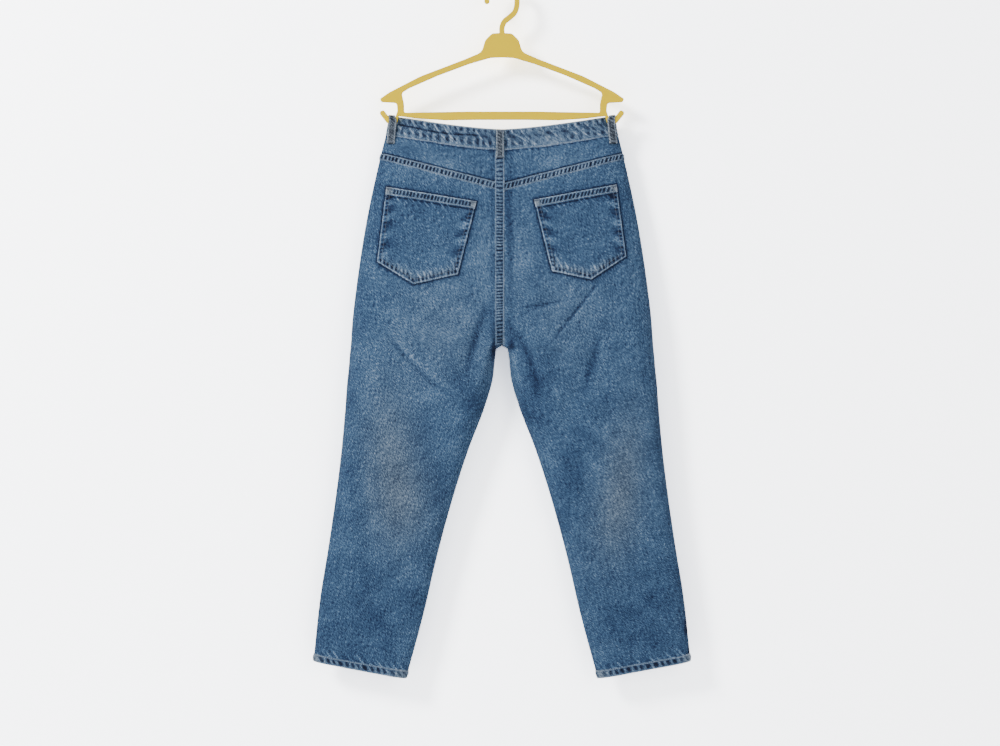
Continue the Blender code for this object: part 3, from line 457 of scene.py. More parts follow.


# %% [markdown]
# ## Fades
# Stone washing fades jeans where they stand proud: the seat, the thighs and the knees. The sides, the inner
# legs and the shins keep more of their indigo. Each row of the table is a soft oval patch, paler or darker,
# and the knees also turn a little grey, which the last column gives. The last three rows of the back are
# painted shade, not wear: a soft dark band beside the centre-back seam, and dark slivers where the thighs
# turn in at the crotch.

# %% Table of fades
FADE_COLUMNS = ("face", "x", "z", "half_width", "half_height", "lean", "shade", "grey")
FADES = (
    ("back", -188, -812, 46, 112, -0.08, 0.08, 0.55),
    ("back", -226, -862, 7, 56, -0.06, 0.20, 0.10),
    ("back", -214, -868, 5, 50, -0.06, -0.10, 0.0),
    ("back", -170, -900, 50, 70, 0.10, 0.04, 0.35),
    ("back", 206, -848, 34, 104, 0.10, 0.12, 0.55),
    ("back", 190, -930, 44, 70, 0.10, 0.02, 0.25),
    ("back", -104, -596, 74, 92, 0.0, 0.20, 0.18),
    ("back", 116, -570, 74, 84, 0.0, 0.10, 0.12),
    ("back", -200, -660, 60, 90, 0.0, 0.08, 0.0),
    ("back", -100, -440, 60, 60, 0.0, 0.10, 0.0),
    ("back", 120, -440, 50, 50, 0.0, 0.04, 0.0),
    ("back", -112, -318, 60, 20, 0.0, 0.16, 0.05),
    ("back", 100, -308, 70, 22, 0.0, 0.14, 0.05),
    ("back", -22, -470, 30, 70, 0.0, 0.16, 0.05),
    ("back", 28, -470, 28, 70, 0.0, 0.14, 0.05),
    ("back", -262, -760, 22, 170, 0.0, -0.06, 0.0),
    ("back", 276, -760, 20, 170, 0.0, -0.08, 0.0),
    ("back", -60, -700, 26, 90, -0.4, -0.22, 0.0),
    ("back", 54, -720, 26, 90, 0.35, -0.26, 0.0),
    ("back", 108, -880, 26, 110, 0.25, -0.20, 0.0),
    ("back", -112, -860, 22, 110, -0.25, -0.16, 0.0),
    ("back", -230, -1090, 90, 90, 0.0, -0.20, 0.0),
    ("back", 240, -1080, 90, 90, 0.0, -0.22, 0.0),
    ("back", 316, -1106, 3, 12, 0.0, -0.8, 0.0),
    ("back", 322, -1146, 3, 7, 0.0, -0.8, 0.0),
    # Painted shade: a soft band beside the centre-back seam, and two dark slivers at the crotch.
    ("back", 10, -398, 5, 70, -0.05, -0.30, 0.0),
    ("back", -14, -628, 5, 16, 0.0, -1.0, 0.0),
    ("back", 15, -622, 5, 10, 0.0, -0.9, 0.0),
    ("front", -140, -640, 60, 140, 0.0, 0.36, 0.20),
    ("front", 140, -650, 60, 140, 0.0, 0.36, 0.20),
    ("front", -180, -870, 50, 80, 0.0, 0.34, 0.40),
    ("front", 186, -880, 50, 80, 0.0, 0.34, 0.40),
    ("front", -230, -1090, 90, 90, 0.0, -0.18, 0.0),
    ("front", 236, -1090, 90, 90, 0.0, -0.18, 0.0),
    ("front", -100, -430, 60, 60, 0.0, 0.12, 0.0),
    ("front", 110, -430, 60, 60, 0.0, 0.12, 0.0),
)
SIDE_SHADE, SIDE_WIDTH, LEG_WIDTH = -0.10, 14, 250
print(len(FADES), "faded patches")


def fades(points, share, face):
    """Shade and greyness: a two-way bell for each patch, and a darker strip along the side seam."""
    shade = np.zeros(points.shape[:-1])
    grey = np.zeros(points.shape[:-1])
    for patch in rows_for(face, FADE_COLUMNS, FADES):
        down = points[..., 2] - patch["z"]
        across = points[..., 0] - patch["x"] - patch["lean"] * down
        soft = np.exp(-((across / patch["half_width"]) ** 2) - (down / patch["half_height"]) ** 2)
        shade += patch["shade"] * soft
        grey += patch["grey"] * soft
    from_side = (1 - np.abs(share)) * LEG_WIDTH
    return shade + SIDE_SHADE * bell(from_side, SIDE_WIDTH), grey


# %% [markdown]
# ## From grids to meshes
# A piece of cloth is a grid of outer points, the same grid moved in by the cloth's thickness, and the rim
# that joins them, so it is closed and its walls are real. Three values ride on its points: how faded the
# cloth is, how grey, and whether it is the pale inside. Its UV map holds the cloth's own places in metres,
# for the weave.

# %% Walls of cloth
def grid_faces(rows, columns, first=0):
    """The four-sided faces between the neighbours of a grid."""
    corner = (np.arange(rows - 1)[:, None] * columns + np.arange(columns - 1)[None, :]).ravel() + first
    return np.stack([corner, corner + 1, corner + columns + 1, corner + columns], axis=1)


def outward(points, faces):
    """Turns all faces of a closed shape round if its volume, a sum of triple products, is below zero."""
    a, b, c, d = (points[faces[:, k]] for k in range(4))
    volume = (a * np.cross(b, c)).sum() + (a * np.cross(c, d)).sum()
    return faces if volume > 0 else faces[:, ::-1]


def new_piece(name, points, faces, material, values=None, places=None, sharp=40):
    """A mesh in metres that rides with the garment, with values on its points and places as its UVs."""
    mesh = bpy.data.meshes.new(name)
    mesh.from_pydata((points * MM).tolist(), [], faces if isinstance(faces, list) else faces.tolist())
    mesh.shade_smooth()
    mesh.set_sharp_from_angle(angle=math.radians(sharp))
    for key, numbers in (values or {}).items():
        mesh.attributes.new(key, "FLOAT", "POINT").data.foreach_set("value", np.float32(numbers).ravel())
    if places is not None:
        corners = np.empty(len(mesh.loops), np.int32)
        mesh.loops.foreach_get("vertex_index", corners)
        uv = mesh.uv_layers.new(name="cloth")
        uv.data.foreach_set("uv", np.float32(places[corners] * MM).ravel())
    piece = bpy.data.objects.new(name, mesh)
    piece.data.materials.append(material)
    bpy.context.scene.collection.objects.link(piece)
    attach(piece, "root")
    return piece


def wall(name, outer, inner, places, shade, grey, material, inside=1.0):
    """A closed wall from two grids of points. The inner one is marked as the inside of the cloth."""
    rows, columns = outer.shape[:2]
    count = rows * columns
    index = np.arange(count).reshape(rows, columns)
    rim = np.concatenate([index[0, :], index[1:, -1], index[-1, -2::-1], index[-2:0:-1, 0]])
    ahead = np.roll(rim, -1)
    faces = np.concatenate([grid_faces(rows, columns), grid_faces(rows, columns, count)[:, ::-1],
                            np.stack([ahead, rim, rim + count, ahead + count], axis=1)])
    points = np.concatenate([outer.reshape(-1, 3), inner.reshape(-1, 3)])
    values = {"fade": np.concatenate([(shade + np.zeros((rows, columns))).ravel()] * 2),
              "grey": np.concatenate([(grey + np.zeros((rows, columns))).ravel()] * 2),
              "inside": np.repeat([0.0, inside], count)}
    both = np.concatenate([places.reshape(-1, 2)] * 2)
    return new_piece(name, points, outward(points, faces), material, values, both)


SIDE_OVERLAP = 0.02


def apart(points, face):
    """Moves points off the centre plane by half the seams' gap, and laps the side seams by a hair."""
    moved = points.copy()
    moved[..., 0] += np.where(points[..., 0] < 0, -1, 1) * SEAM_GAP / 2
    moved[..., 1] += (1 if face == "back" else -1) * SIDE_OVERLAP
    return moved


def cloth_relief(drop, share, face):
    """The base points, their normals, the height of folds, creases and slack, and the creases' shade."""
    base = base_point(drop, share, face)
    w = np.abs(share)
    fade = np.clip((1 - w) / FOLD_SIDE_FADE, 0, 1) * np.clip(w / FOLD_INNER_FADE, 0, 1)
    creases, shade = crease_relief(base, face)
    height = (fold_height(base, face) + creases + slack(base)) * fade
    return base, base_normal(drop, share, face), height, shade


def on_cloth(drop, share, face, lift):
    """Points of the folded cloth, moved out along their normals by the lift, and those normals."""
    base, normal, height, _ = cloth_relief(drop, share, face)
    return apart(base + normal * (height + lift)[..., None], face), normal


def two_sides(base, normal, over, under, face):
    """The outer and the inner points of a layer: its base moved along the normals by two heights."""
    return [apart(base + normal * height[..., None], face) for height in (over, under)]


def triangles_of(piece):
    """A face of n corners is n - 2 triangles, so this is all the corners less twice the faces."""
    return len(piece.data.loops) - 2 * len(piece.data.polygons)


cuts, sewn_on = [], {}


def cut_out(piece, outer, node, rests_on):
    """Keeps the cut of a piece: its widest and longest run, the grid's area and what it rests on; hides its
    solid.
    """
    across = np.linalg.norm(np.diff(outer, axis=1), axis=2).sum(axis=1).max() * MM
    down = np.linalg.norm(np.diff(outer, axis=0), axis=2).sum(axis=0).max() * MM
    a, b, c = outer[:-1, :-1], outer[1:, :-1], outer[:-1, 1:]
    area = np.linalg.norm(np.cross(b - a, c - a), axis=-1).sum() * MM * MM
    cuts.append((piece, (across, down), min(area, across * down), rests_on))
    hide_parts(node)
    print(piece.name, "cut", round(across, 3), "by", round(down, 3), "m, triangles", triangles_of(piece))


# %% [markdown]
# ## Washed denim
# Denim is a twill: an indigo warp shows on its face and runs in fine slanted lines, and a white weft shows
# on its inside. Washing lifts the indigo off the high yarns first, so the cloth is a fine mottle of pale
# and dark yarn. The group below reads the cloth's own places, mixes grain at four scales into the fade
# value, and looks the sum up in a ramp from raw indigo to almost white. It is built once and used by every
# cloth in the scene.

# %% Helpers for node groups
def new_group(name, inputs, outputs):
    """An empty shader group with sockets: (name, kind, default) for inputs, (name, kind) for outputs."""
    group = bpy.data.node_groups.new(name, "ShaderNodeTree")
    for label, kind, default in inputs:
        socket = group.interface.new_socket(name=label, in_out="INPUT", socket_type=kind)
        if default is not None:
            socket.default_value = default
    for label, kind in outputs:
        group.interface.new_socket(name=label, in_out="OUTPUT", socket_type=kind)
    return group, group.nodes.new("NodeGroupInput"), group.nodes.new("NodeGroupOutput")


def maths(tree, kind, first, second, third=None, clamp=False):
    """A Math node, whose arguments are sockets or plain numbers."""
    node = tree.nodes.new("ShaderNodeMath")
    node.operation = kind
    node.use_clamp = clamp
    for socket, value in zip(node.inputs, (first, second, third)):
        if isinstance(value, bpy.types.NodeSocket):
            tree.links.new(value, socket)
        elif value is not None:
            socket.default_value = value
    return node.outputs[0]


def noise(tree, vector, scale, detail, roughness):
    """A Noise texture read at these coordinates, from 0 to 1."""
    node = tree.nodes.new("ShaderNodeTexNoise")
    node.noise_dimensions = "3D"
    tree.links.new(vector, node.inputs["Vector"])
    node.inputs["Scale"].default_value = scale
    node.inputs["Detail"].default_value = detail
    node.inputs["Roughness"].default_value = roughness
    return node.outputs["Fac"]


def turned(tree, vector, degrees, across, along):
    """Coordinates turned by some degrees and then divided by two lengths, so that grain runs one way."""
    node = tree.nodes.new("ShaderNodeMapping")
    node.vector_type = "TEXTURE"
    tree.links.new(vector, node.inputs["Vector"])
    node.inputs["Rotation"].default_value = (0, 0, math.radians(degrees))
    node.inputs["Scale"].default_value = (across, along, 1)
    return node.outputs["Vector"]


def mixed(tree, factor, first, second):
    """A colour mix by a factor socket, between sockets or plain colours."""
    node = tree.nodes.new("ShaderNodeMix")
    node.data_type = "RGBA"
    tree.links.new(factor, node.inputs["Factor"])
    for label, value in (("A", first), ("B", second)):
        socket = [s for s in node.inputs if s.name == label and s.type == "RGBA"][0]
        if isinstance(value, bpy.types.NodeSocket):
            tree.links.new(value, socket)
        else:
            socket.default_value = (*value, 1)
    return [s for s in node.outputs if s.type == "RGBA"][0]


# %% The group of washed denim
TWILL_DEGREES = -42
INDIGO_RAMP = (
    (0.00, (0.005, 0.009, 0.026)),
    (0.22, (0.013, 0.027, 0.074)),
    (0.42, (0.034, 0.075, 0.150)),
    (0.58, (0.070, 0.136, 0.232)),
    (0.76, (0.150, 0.236, 0.368)),
    (1.00, (0.420, 0.520, 0.670)),
)
BASE_SHADE = -0.05
GREY_DARK, GREY_PALE = (0.016, 0.022, 0.030), (0.400, 0.440, 0.465)
WEFT_SIDE = (0.300, 0.380, 0.480)


def washed_denim_group():
    """Fade plus grain, halved and moved up by a half, is the place in the ramp.

    The relief is a sum of the twill's lines, the streaks and the flecks, each with its own weight.
    """
    group, given, made = new_group(
        "washed_denim",
        [("Cloth", "NodeSocketVector", None), ("Fade", "NodeSocketFloat", 0.0),
         ("Grey", "NodeSocketFloat", 0.0), ("Inside", "NodeSocketFloat", 0.0),
         ("Grain", "NodeSocketFloat", 1.0)],
        [("Colour", "NodeSocketColor"), ("Height", "NodeSocketFloat")])
    cloth = given.outputs["Cloth"]
    streak = noise(group, turned(group, cloth, TWILL_DEGREES, 0.0015, 0.0062), 1.0, 2.0, 0.6)
    fleck = noise(group, turned(group, cloth, TWILL_DEGREES, 0.0016, 0.0022), 1.0, 2.0, 0.6)
    slub = noise(group, turned(group, cloth, 0, 0.0024, 0.030), 1.0, 1.0, 0.5)
    cloud = noise(group, cloth, 24.0, 4.0, 0.6)
    grain = maths(group, "MULTIPLY_ADD", streak, 2.4, -1.20)
    grain = maths(group, "ADD", grain, maths(group, "MULTIPLY_ADD", fleck, 1.8, -0.90))
    grain = maths(group, "ADD", grain, maths(group, "MULTIPLY_ADD", slub, 0.5, -0.25))
    grain = maths(group, "MULTIPLY", grain, given.outputs["Grain"])
    soft = maths(group, "MULTIPLY_ADD", cloud, 0.80, -0.40 + BASE_SHADE)
    shade = maths(group, "ADD", maths(group, "ADD", given.outputs["Fade"], grain), soft)
    place = maths(group, "MULTIPLY_ADD", shade, 0.5, 0.5, clamp=True)
    ramp = group.nodes.new("ShaderNodeValToRGB")
    ramp.color_ramp.elements.remove(ramp.color_ramp.elements[1])
    for number, (where, colour) in enumerate(INDIGO_RAMP):
        stop = ramp.color_ramp.elements[0] if number == 0 else ramp.color_ramp.elements.new(where)
        stop.position = where
        stop.color = (*colour, 1)
    group.links.new(place, ramp.inputs["Fac"])
    worn_grey = mixed(group, maths(group, "POWER", place, 2.0), GREY_DARK, GREY_PALE)
    greyed = mixed(group, maths(group, "MULTIPLY", given.outputs["Grey"], 0.6, clamp=True),
                   ramp.outputs["Color"], worn_grey)
    turned_in = mixed(group, maths(group, "MULTIPLY", given.outputs["Inside"], 0.75), greyed, WEFT_SIDE)
    group.links.new(turned_in, made.inputs["Colour"])
    lines = group.nodes.new("ShaderNodeTexWave")
    lines.wave_type = "BANDS"
    lines.inputs["Scale"].default_value = 1.0
    lines.inputs["Distortion"].default_value = 1.2
    group.links.new(turned(group, cloth, TWILL_DEGREES, 0.0028, 0.0028), lines.inputs["Vector"])
    height = maths(group, "MULTIPLY_ADD", lines.outputs["Fac"], 0.35, maths(group, "MULTIPLY", streak, 0.9))
    group.links.new(maths(group, "ADD", height, maths(group, "MULTIPLY", fleck, 0.5)), made.inputs["Height"])
    return group


WASHED_DENIM = washed_denim_group()
print("washed denim has", len(WASHED_DENIM.nodes), "nodes")


# %% [markdown]
# Two cloths use the group. The loops are cut from the same denim, but washing has worn them more and left
# their grain coarser. A little sheen gives both the soft bloom that cotton has at a low angle.

# %% Materials in general
def principled(name, settings):
    """A new material, its node tree, and its Principled shader with these sockets set."""
    made = bpy.data.materials.new(name)
    made.use_nodes = True
    shader = made.node_tree.nodes["Principled BSDF"]
    for label, value in settings.items():
        shader.inputs[label].default_value = value
    return made, made.node_tree, shader


def bumped(tree, shader, height, strength, distance):
    """Sends a height from 0 to 1, which is this many metres tall, into the shader's normal."""
    relief = tree.nodes.new("ShaderNodeBump")
    relief.inputs["Strength"].default_value = strength
    relief.inputs["Distance"].default_value = distance
    tree.links.new(height, relief.inputs["Height"])
    tree.links.new(relief.outputs["Normal"], shader.inputs["Normal"])


def attribute(tree, name):
    """The number that a mesh holds on its points under this name."""
    node = tree.nodes.new("ShaderNodeAttribute")
    node.attribute_name = name
    return node.outputs["Fac"]


# %% Denim materials
def denim_material(name, grain, bump):
    """A Principled shader fed by the group: the group's colour, and its height through a bump."""
    made, tree, shader = principled(name, {"Roughness": 0.92, "Specular IOR Level": 0.12,
                                           "Sheen Weight": 0.05, "Sheen Roughness": 0.5})
    cloth = tree.nodes.new("ShaderNodeUVMap")
    cloth.uv_map = "cloth"
    group = tree.nodes.new("ShaderNodeGroup")
    group.node_tree = WASHED_DENIM
    tree.links.new(cloth.outputs["UV"], group.inputs["Cloth"])
    for label, key in (("Fade", "fade"), ("Grey", "grey"), ("Inside", "inside")):
        tree.links.new(attribute(tree, key), group.inputs[label])
    group.inputs["Grain"].default_value = grain
    tree.links.new(group.outputs["Colour"], shader.inputs["Base Color"])
    bumped(tree, shader, group.outputs["Height"], bump, 0.0005)
    return made


DENIM_CLOTH = denim_material("denim_cloth", 1.0, 0.55)
LOOP_CLOTH = denim_material("loop_cloth", 1.25, 0.7)

# %% [markdown]
# ## Back of the legs
# Each back runs from the yoke seam to the hem. Its grid is fine enough to hold creases a few millimetres
# wide. The cloth beside a pocket is darker, as painted shadow of the pocket's raised edge and as cloth that
# the edge shields in the wash, and a strip beside the centre-back seam is darker with painted shade. The
# cloth under the yoke seam and over the hem is drawn into short slanted pulls by the stitching.

# %% Places of the back pockets
POCKET_CORNERS = {
    "left": {"outer_top": (-198.3, -349.8), "inner_top": (-43.2, -375.3), "inner_low": (-75.2, -500.7),
             "point": (-150.7, -517.7), "outer_low": (-213.5, -479.0)},
    "right": {"outer_top": (196.1, -345.6), "inner_top": (54.5, -372.4), "inner_low": (85.1, -495.2),
              "point": (152.2, -509.5), "outer_low": (212.4, -469.9)},
}
POCKET_ORDER = ("outer_top", "inner_top", "inner_low", "point", "outer_low")


def pocket_outline(side_name):
    """The patch's corners in order, and the first one again, so that the line closes."""
    corners = [POCKET_CORNERS[side_name][key] for key in POCKET_ORDER]
    return np.array([*corners, corners[0]], float)


# %% Backs
FINE, COARSE = 2.35, 3.7
HEM_WIDTH, HEM_TUCK, FELL_WIDTH = 14.0, 3.0, 13.0
PULL_REACH, PULL_HEIGHT, ROPING = 17.0, 0.55, 11.0
SIDES = (("left", -1), ("right", 1))


def hem_pulls(distance, run, seed):
    """Short slanted pulls that fade out over a reach above the hem's stitching: height and shade."""
    soft = np.clip(1 - (distance - HEM_WIDTH) / PULL_REACH, 0, 1) ** 1.2
    ridge = puckers(run, -distance, ROPING, 1.0, seed)
    lines = hairs(run, -distance, ROPING, 0.9, seed, 1.8)
    return PULL_HEIGHT * soft * (ridge - 0.3), soft * (1.5 * lines - 0.28)


backs = {}
for side_name, side in SIDES:
    rows = even_drops(YOKE_SEAM + SEAM_GAP, HEM - HEM_WIDTH + HEM_TUCK, FINE)
    drop, share, places = panel_grid(rows, "back", side, FINE)
    base, normal, height, shade = cloth_relief(drop, share, "back")
    patch_shade, grey = fades(base, share, "back")
    flat = base[..., [0, 2]]
    beside_pocket, _ = to_line(flat, pocket_outline(side_name))
    under_yoke = drop - YOKE_SEAM - FELL_WIDTH
    pull = np.clip(1 - under_yoke / 9.0, 0, 1) ** 1.5
    ridge = hairs(base[..., 0], under_yoke, 7.0, 0.9, 2, 1.7)
    hem_height, hem_shade = hem_pulls(HEM - drop, base[..., 0], 3)
    height = height + hem_height + 0.3 * pull * ridge
    shade = shade + patch_shade + hem_shade + pull * (0.95 * ridge - 0.16)
    # Beside the pocket: painted shadow of its edge, and cloth it shields in the wash. By the centre-back
    # seam: painted shade.
    shade = shade - 0.85 * bell(beside_pocket, 2.6) - 0.16 * bell(beside_pocket, 9.0)
    shade = shade - 0.22 * bell(np.abs(places[..., 0]) - 14, 7) * (drop < CROTCH)
    outer, inner = two_sides(base, normal, height, height - DENIM, "back")
    backs[side_name] = wall(f"back_{side_name}_cloth", outer, inner, places, shade, grey, DENIM_CLOTH)
    cut_out(backs[side_name], outer, f"back_panel_{side_name}", rests_on=[f"yoke_{side_name}_cloth"])

# %% [markdown]
# ## Yokes
# The yoke is the wedge under the waistband that shapes the seat. It is small, so it can have a finer grid.
# The waistband's stitching draws short pulls down into it. A dark line just under the waistband, its lower
# edge where the seam below would shade it, and a strip beside the centre-back seam are painted shade.

# %% Yokes
YOKE_STEP = 1.9
YOKE_SEAM_PAINTED_SHADE = -1.3
for side_name, side in SIDES:
    rows = even_drops(WAIST - SEAM_TUCK, YOKE_SEAM, YOKE_STEP)
    drop, share, places = panel_grid(rows, "back", side, YOKE_STEP)
    base, normal, height, shade = cloth_relief(drop, share, "back")
    patch_shade, grey = fades(base, share, "back")
    below = drop - rows[0] - SEAM_TUCK
    pull = np.clip(1 - below / 13.0, 0, 1) ** 1.3
    ridge = hairs(base[..., 0], below, 9.0, 0.9, 1, 1.5)
    # Painted shadow under the waistband and over the yoke seam, and painted shade by the centre-back seam.
    shade = shade + patch_shade + pull * (1.0 * ridge - 0.12) - 0.5 * bell(below, 2.0)
    shade = shade + YOKE_SEAM_PAINTED_SHADE * bell(YOKE_SEAM - drop, 1.7) - 0.2 * bell(np.abs(places[..., 0]) - 14, 7)
    height = height + 0.35 * pull * ridge
    outer, inner = two_sides(base, normal, height, height - DENIM, "back")
    yoke = wall(f"yoke_{side_name}_cloth", outer, inner, places, shade, grey, DENIM_CLOTH)
    cut_out(yoke, outer, f"yoke_{side_name}", rests_on=["waistband_cloth"])

# %% [markdown]
# ## Fronts and pocket facings
# The fly side has the scooped pockets that five-pocket jeans have. The front panel ends at the scoop, which
# is a quarter of an ellipse, and the hip facing fills the corner behind it. The same rule gives both their
# edges.

# %% Fronts
MOUTH_SHARE, MOUTH_LEVELS = 0.60, 1.62
MOUTH_TOP, MOUTH_FOOT = WAIST, drop_of(MOUTH_LEVELS + 1)


def mouth_share(drop):
    """The arc share at which the scoop cuts the front: 1 at its foot, and MOUTH_SHARE at the waist."""
    down = np.clip((drop - MOUTH_TOP) / (MOUTH_FOOT - MOUTH_TOP), 0, 1)
    return 1 - (1 - MOUTH_SHARE) * np.sqrt(1 - down**2)


for side_name, side in SIDES:
    rows = even_drops(MOUTH_TOP - SEAM_TUCK, HEM - HEM_WIDTH + HEM_TUCK, COARSE)
    drop, share, places = panel_grid(rows, "front", side, COARSE, last=mouth_share(rows))
    base, normal, height, shade = cloth_relief(drop, share, "front")
    patch_shade, grey = fades(base, share, "front")
    hem_height, hem_shade = hem_pulls(HEM - drop, base[..., 0], 2)
    shade = shade + patch_shade + hem_shade
    height = height + hem_height
    outer, inner = two_sides(base, normal, height, height - DENIM, "front")
    front = wall(f"front_{side_name}_cloth", outer, inner, places, shade, grey, DENIM_CLOTH)
    cut_out(front, outer, f"front_panel_{side_name}", rests_on=["waistband_cloth"])

# %% Pocket facings
FACING_UNDERLAP, FACING_GAP = 0.05, 0.9
FACING_STEP = 3.0
for side_name, side in SIDES:
    rows = even_drops(MOUTH_TOP - SEAM_TUCK, MOUTH_FOOT, FACING_STEP)
    mouth = mouth_share(np.minimum(rows, MOUTH_TOP + 0.98 * (MOUTH_FOOT - MOUTH_TOP)))
    at_foot = smooth((np.linspace(0, 1, len(rows)) - 0.94) / 0.06)[:, None]
    start = mouth - FACING_UNDERLAP
    drop, share, places = panel_grid(rows, "front", side, FACING_STEP, first=start)
    arc = start[:, None] + (1 - start)[:, None] * np.linspace(0, 1, share.shape[1])
    bare = np.clip((arc - mouth[:, None]) / (1 - mouth)[:, None], 0, 1)
    dip = (DENIM + FACING_GAP) * np.maximum(1 - smooth(bare), at_foot)
    base, normal, height, shade = cloth_relief(drop, share, "front")
    outer, inner = two_sides(base, normal, height - dip, height - dip - DENIM, "front")
    facing = wall(f"facing_{side_name}_cloth", outer, inner, places, shade - 0.25, 0.0, DENIM_CLOTH)
    cut_out(facing, outer, f"pocket_facing_{side_name}", rests_on=["waistband_cloth"])

# %% [markdown]
# ## Raised seams
# Where denim is felled, four layers lie under two rows of stitches, and the band between the rows is what
# washing picks out first: its ridges go white and its hollows stay indigo. Each band is a strip of its own
# that lies on the panel, so that it can have a grid fine enough for the ladder of puckers. Its edges roll
# down.

# %% Raised seams
SEAM_STEP, SEAM_LIFT, SEAM_UNDER = 1.15, 1.0, 0.12
STITCH_INSET, EDGE_ROLL = 1.9, 1.6


def rolled(from_edge, radius=EDGE_ROLL):
    """How far an edge's roundness lowers the cloth: a quarter of a circle over its last millimetres."""
    t = np.clip(1 - from_edge / radius, 0, 1)
    return radius * (1 - np.sqrt(1 - t**2))


def ladder(run, across, width, pitch, slant, seed, share=0.5):
    """Height and shade of a band's puckers between its two rows of stitches, which draw it down."""
    middle = smooth((across - STITCH_INSET) / 1.8) * smooth((width - STITCH_INSET - across) / 1.8)
    hollow = hollows(run, across, pitch, slant, seed, share)
    rows = bell(across - STITCH_INSET, 0.8) + bell(width - STITCH_INSET - across, 0.8)
    edges = bell(across, 1.4) + bell(width - across, 1.4)
    roll = rolled(np.minimum(across, width - across))
    height = 0.7 * middle * (1 - 1.3 * hollow) - 0.25 * rows - 0.6 * roll
    shade = 0.40 * middle - 1.75 * middle * hollow + 0.10 * rows + 0.42 * edges
    return height, shade


YOKE_BAND_TOP = YOKE_SEAM + 0.4
seam_pieces = {}
for side_name, side in SIDES:
    rows = even_drops(YOKE_BAND_TOP, YOKE_BAND_TOP + FELL_WIDTH, SEAM_STEP * 0.8)
    drop, share, places = panel_grid(rows, "back", side, SEAM_STEP)
    base, normal, height, shade = cloth_relief(drop, share, "back")
    band_height, band_shade = ladder(base[..., 0], drop - YOKE_BAND_TOP, FELL_WIDTH, 6.4, -0.3, 1)
    over = height + SEAM_LIFT + band_height
    outer, inner = two_sides(base, normal, over, height + SEAM_UNDER, "back")
    shade = shade + band_shade + fades(base, share, "back")[0]
    band = wall(f"yoke_seam_{side_name}", outer, inner, places, shade, 0.35, DENIM_CLOTH)
    seam_pieces[f"yoke_{side_name}"] = band
    print("yoke seam", side_name, drop.shape)

# %% The centre-back seam
CENTRE_FROM, CENTRE_TO = -12.2, 4.3
CENTRE_TOP, CENTRE_FOOT = WAIST + 0.5, CROTCH - 1.5
CENTRE_LIFT, CLIMB = SEAM_LIFT + 0.2, 1.3
CLIMB_RUN, CLIMB_END = 5.0, 6.0


def over_yoke(drops):
    """1 where this seam lies on the yoke seam's band, with a soft slope up above it and down below it."""
    upper = smooth((drops - YOKE_SEAM + CLIMB_RUN) / CLIMB_RUN)
    return upper * smooth((YOKE_SEAM + FELL_WIDTH + CLIMB_END - drops) / CLIMB_RUN)


rows = even_drops(CENTRE_TOP, CENTRE_FOOT, SEAM_STEP)
x = np.linspace(CENTRE_FROM, CENTRE_TO, int((CENTRE_TO - CENTRE_FROM) / (SEAM_STEP * 0.8)) + 1)[None, :]
drop = rows[:, None] + 0 * x
share = x / section_at(rows, "back")["x_side"][:, None]
base, normal, height, shade = cloth_relief(drop, share, "back")
across = x - CENTRE_FROM + 0 * drop
band_height, band_shade = ladder(drop, across, CENTRE_TO - CENTRE_FROM, 6.2, -0.15, 3, 0.36)
lift = height + CENTRE_LIFT + CLIMB * over_yoke(drop) + band_height
places = np.stack([x + 0 * drop, drop], axis=-1)
outer = base + normal * lift[..., None] - [0, SEAM_GAP / 2, 0]
inner = base + normal * (height + SEAM_UNDER)[..., None] - [0, SEAM_GAP / 2, 0]
right_edge = bell(CENTRE_TO - 1.2 - x + 0 * drop, 1.3)
shade = shade + band_shade * (0.75 + 0.25 * over_yoke(drop)) + 0.3 * right_edge
shade = shade - 0.25 * bell(across - 12.0, 2.0)
seam_pieces["centre"] = wall("centre_back_seam", outer, inner, places, shade, 0.3, DENIM_CLOTH)
print("centre-back seam", drop.shape)

# %% [markdown]
# ## Hems
# Each hem is the leg's own cloth turned up twice, so its bottom edge is a soft fold and not a cut. Its
# stitching pulls the turned cloth a little to one side, and this twist is what wears into the slanted marks
# that people call roping.

# %% Hems
HEM_OUT, HEM_IN, HEM_ROLL, HEM_LAID = 1.0, 0.8, 1.7, 160
HEM_FOLD_DROPS = HEM - np.array([1.2, 0.8, 0.5, 0.25, 0.1, 0.0])
for side_name, side in SIDES:
    for face in ("back", "front"):
        rows = np.concatenate([even_drops(HEM - HEM_WIDTH, HEM - 1.6, SEAM_STEP), HEM_FOLD_DROPS])
        drop, share, places = panel_grid(rows, face, side, SEAM_STEP if face == "back" else 1.8)
        base, normal, height, shade = cloth_relief(drop, share, face)
        up, down = drop - rows[0], HEM - drop
        hollow = hollows(base[..., 0], drop, ROPING, 0.45, 3 if face == "back" else 2, 0.50)
        window = smooth((up - STITCH_INSET) / 3.0) * smooth((down - 1.0) / 5.0)
        from_inseam = np.abs(share) * HEM_LAID
        at_corner = bell(HEM_LAID - from_inseam, 14) + 0.8 * bell(from_inseam - 6, 14)
        hollow = hollow * (1 - 0.7 * at_corner)
        stitched = bell(up - STITCH_INSET, 0.9)
        grow = 0.8 * window * (1 - 1.2 * hollow) - 0.25 * stitched - 0.55 * rolled(up)
        shade = shade + window * (0.22 - 1.35 * hollow) + 0.1 * stitched + 0.3 * bell(up, 1.3)
        shade = shade + 0.5 * bell(down, 2.5) + 0.2 * at_corner
        grey = 0.3 + 0.6 * at_corner
        fold = rolled(down, HEM_ROLL)
        over, under = height + HEM_OUT + grow - fold, height - DENIM - HEM_IN + fold
        outer, inner = two_sides(base, normal, over, under, face)
        seam_pieces[f"hem_{face}_{side_name}"] = wall(
            f"hem_{face}_{side_name}", outer, inner, places, shade, grey, DENIM_CLOTH, inside=0.6)
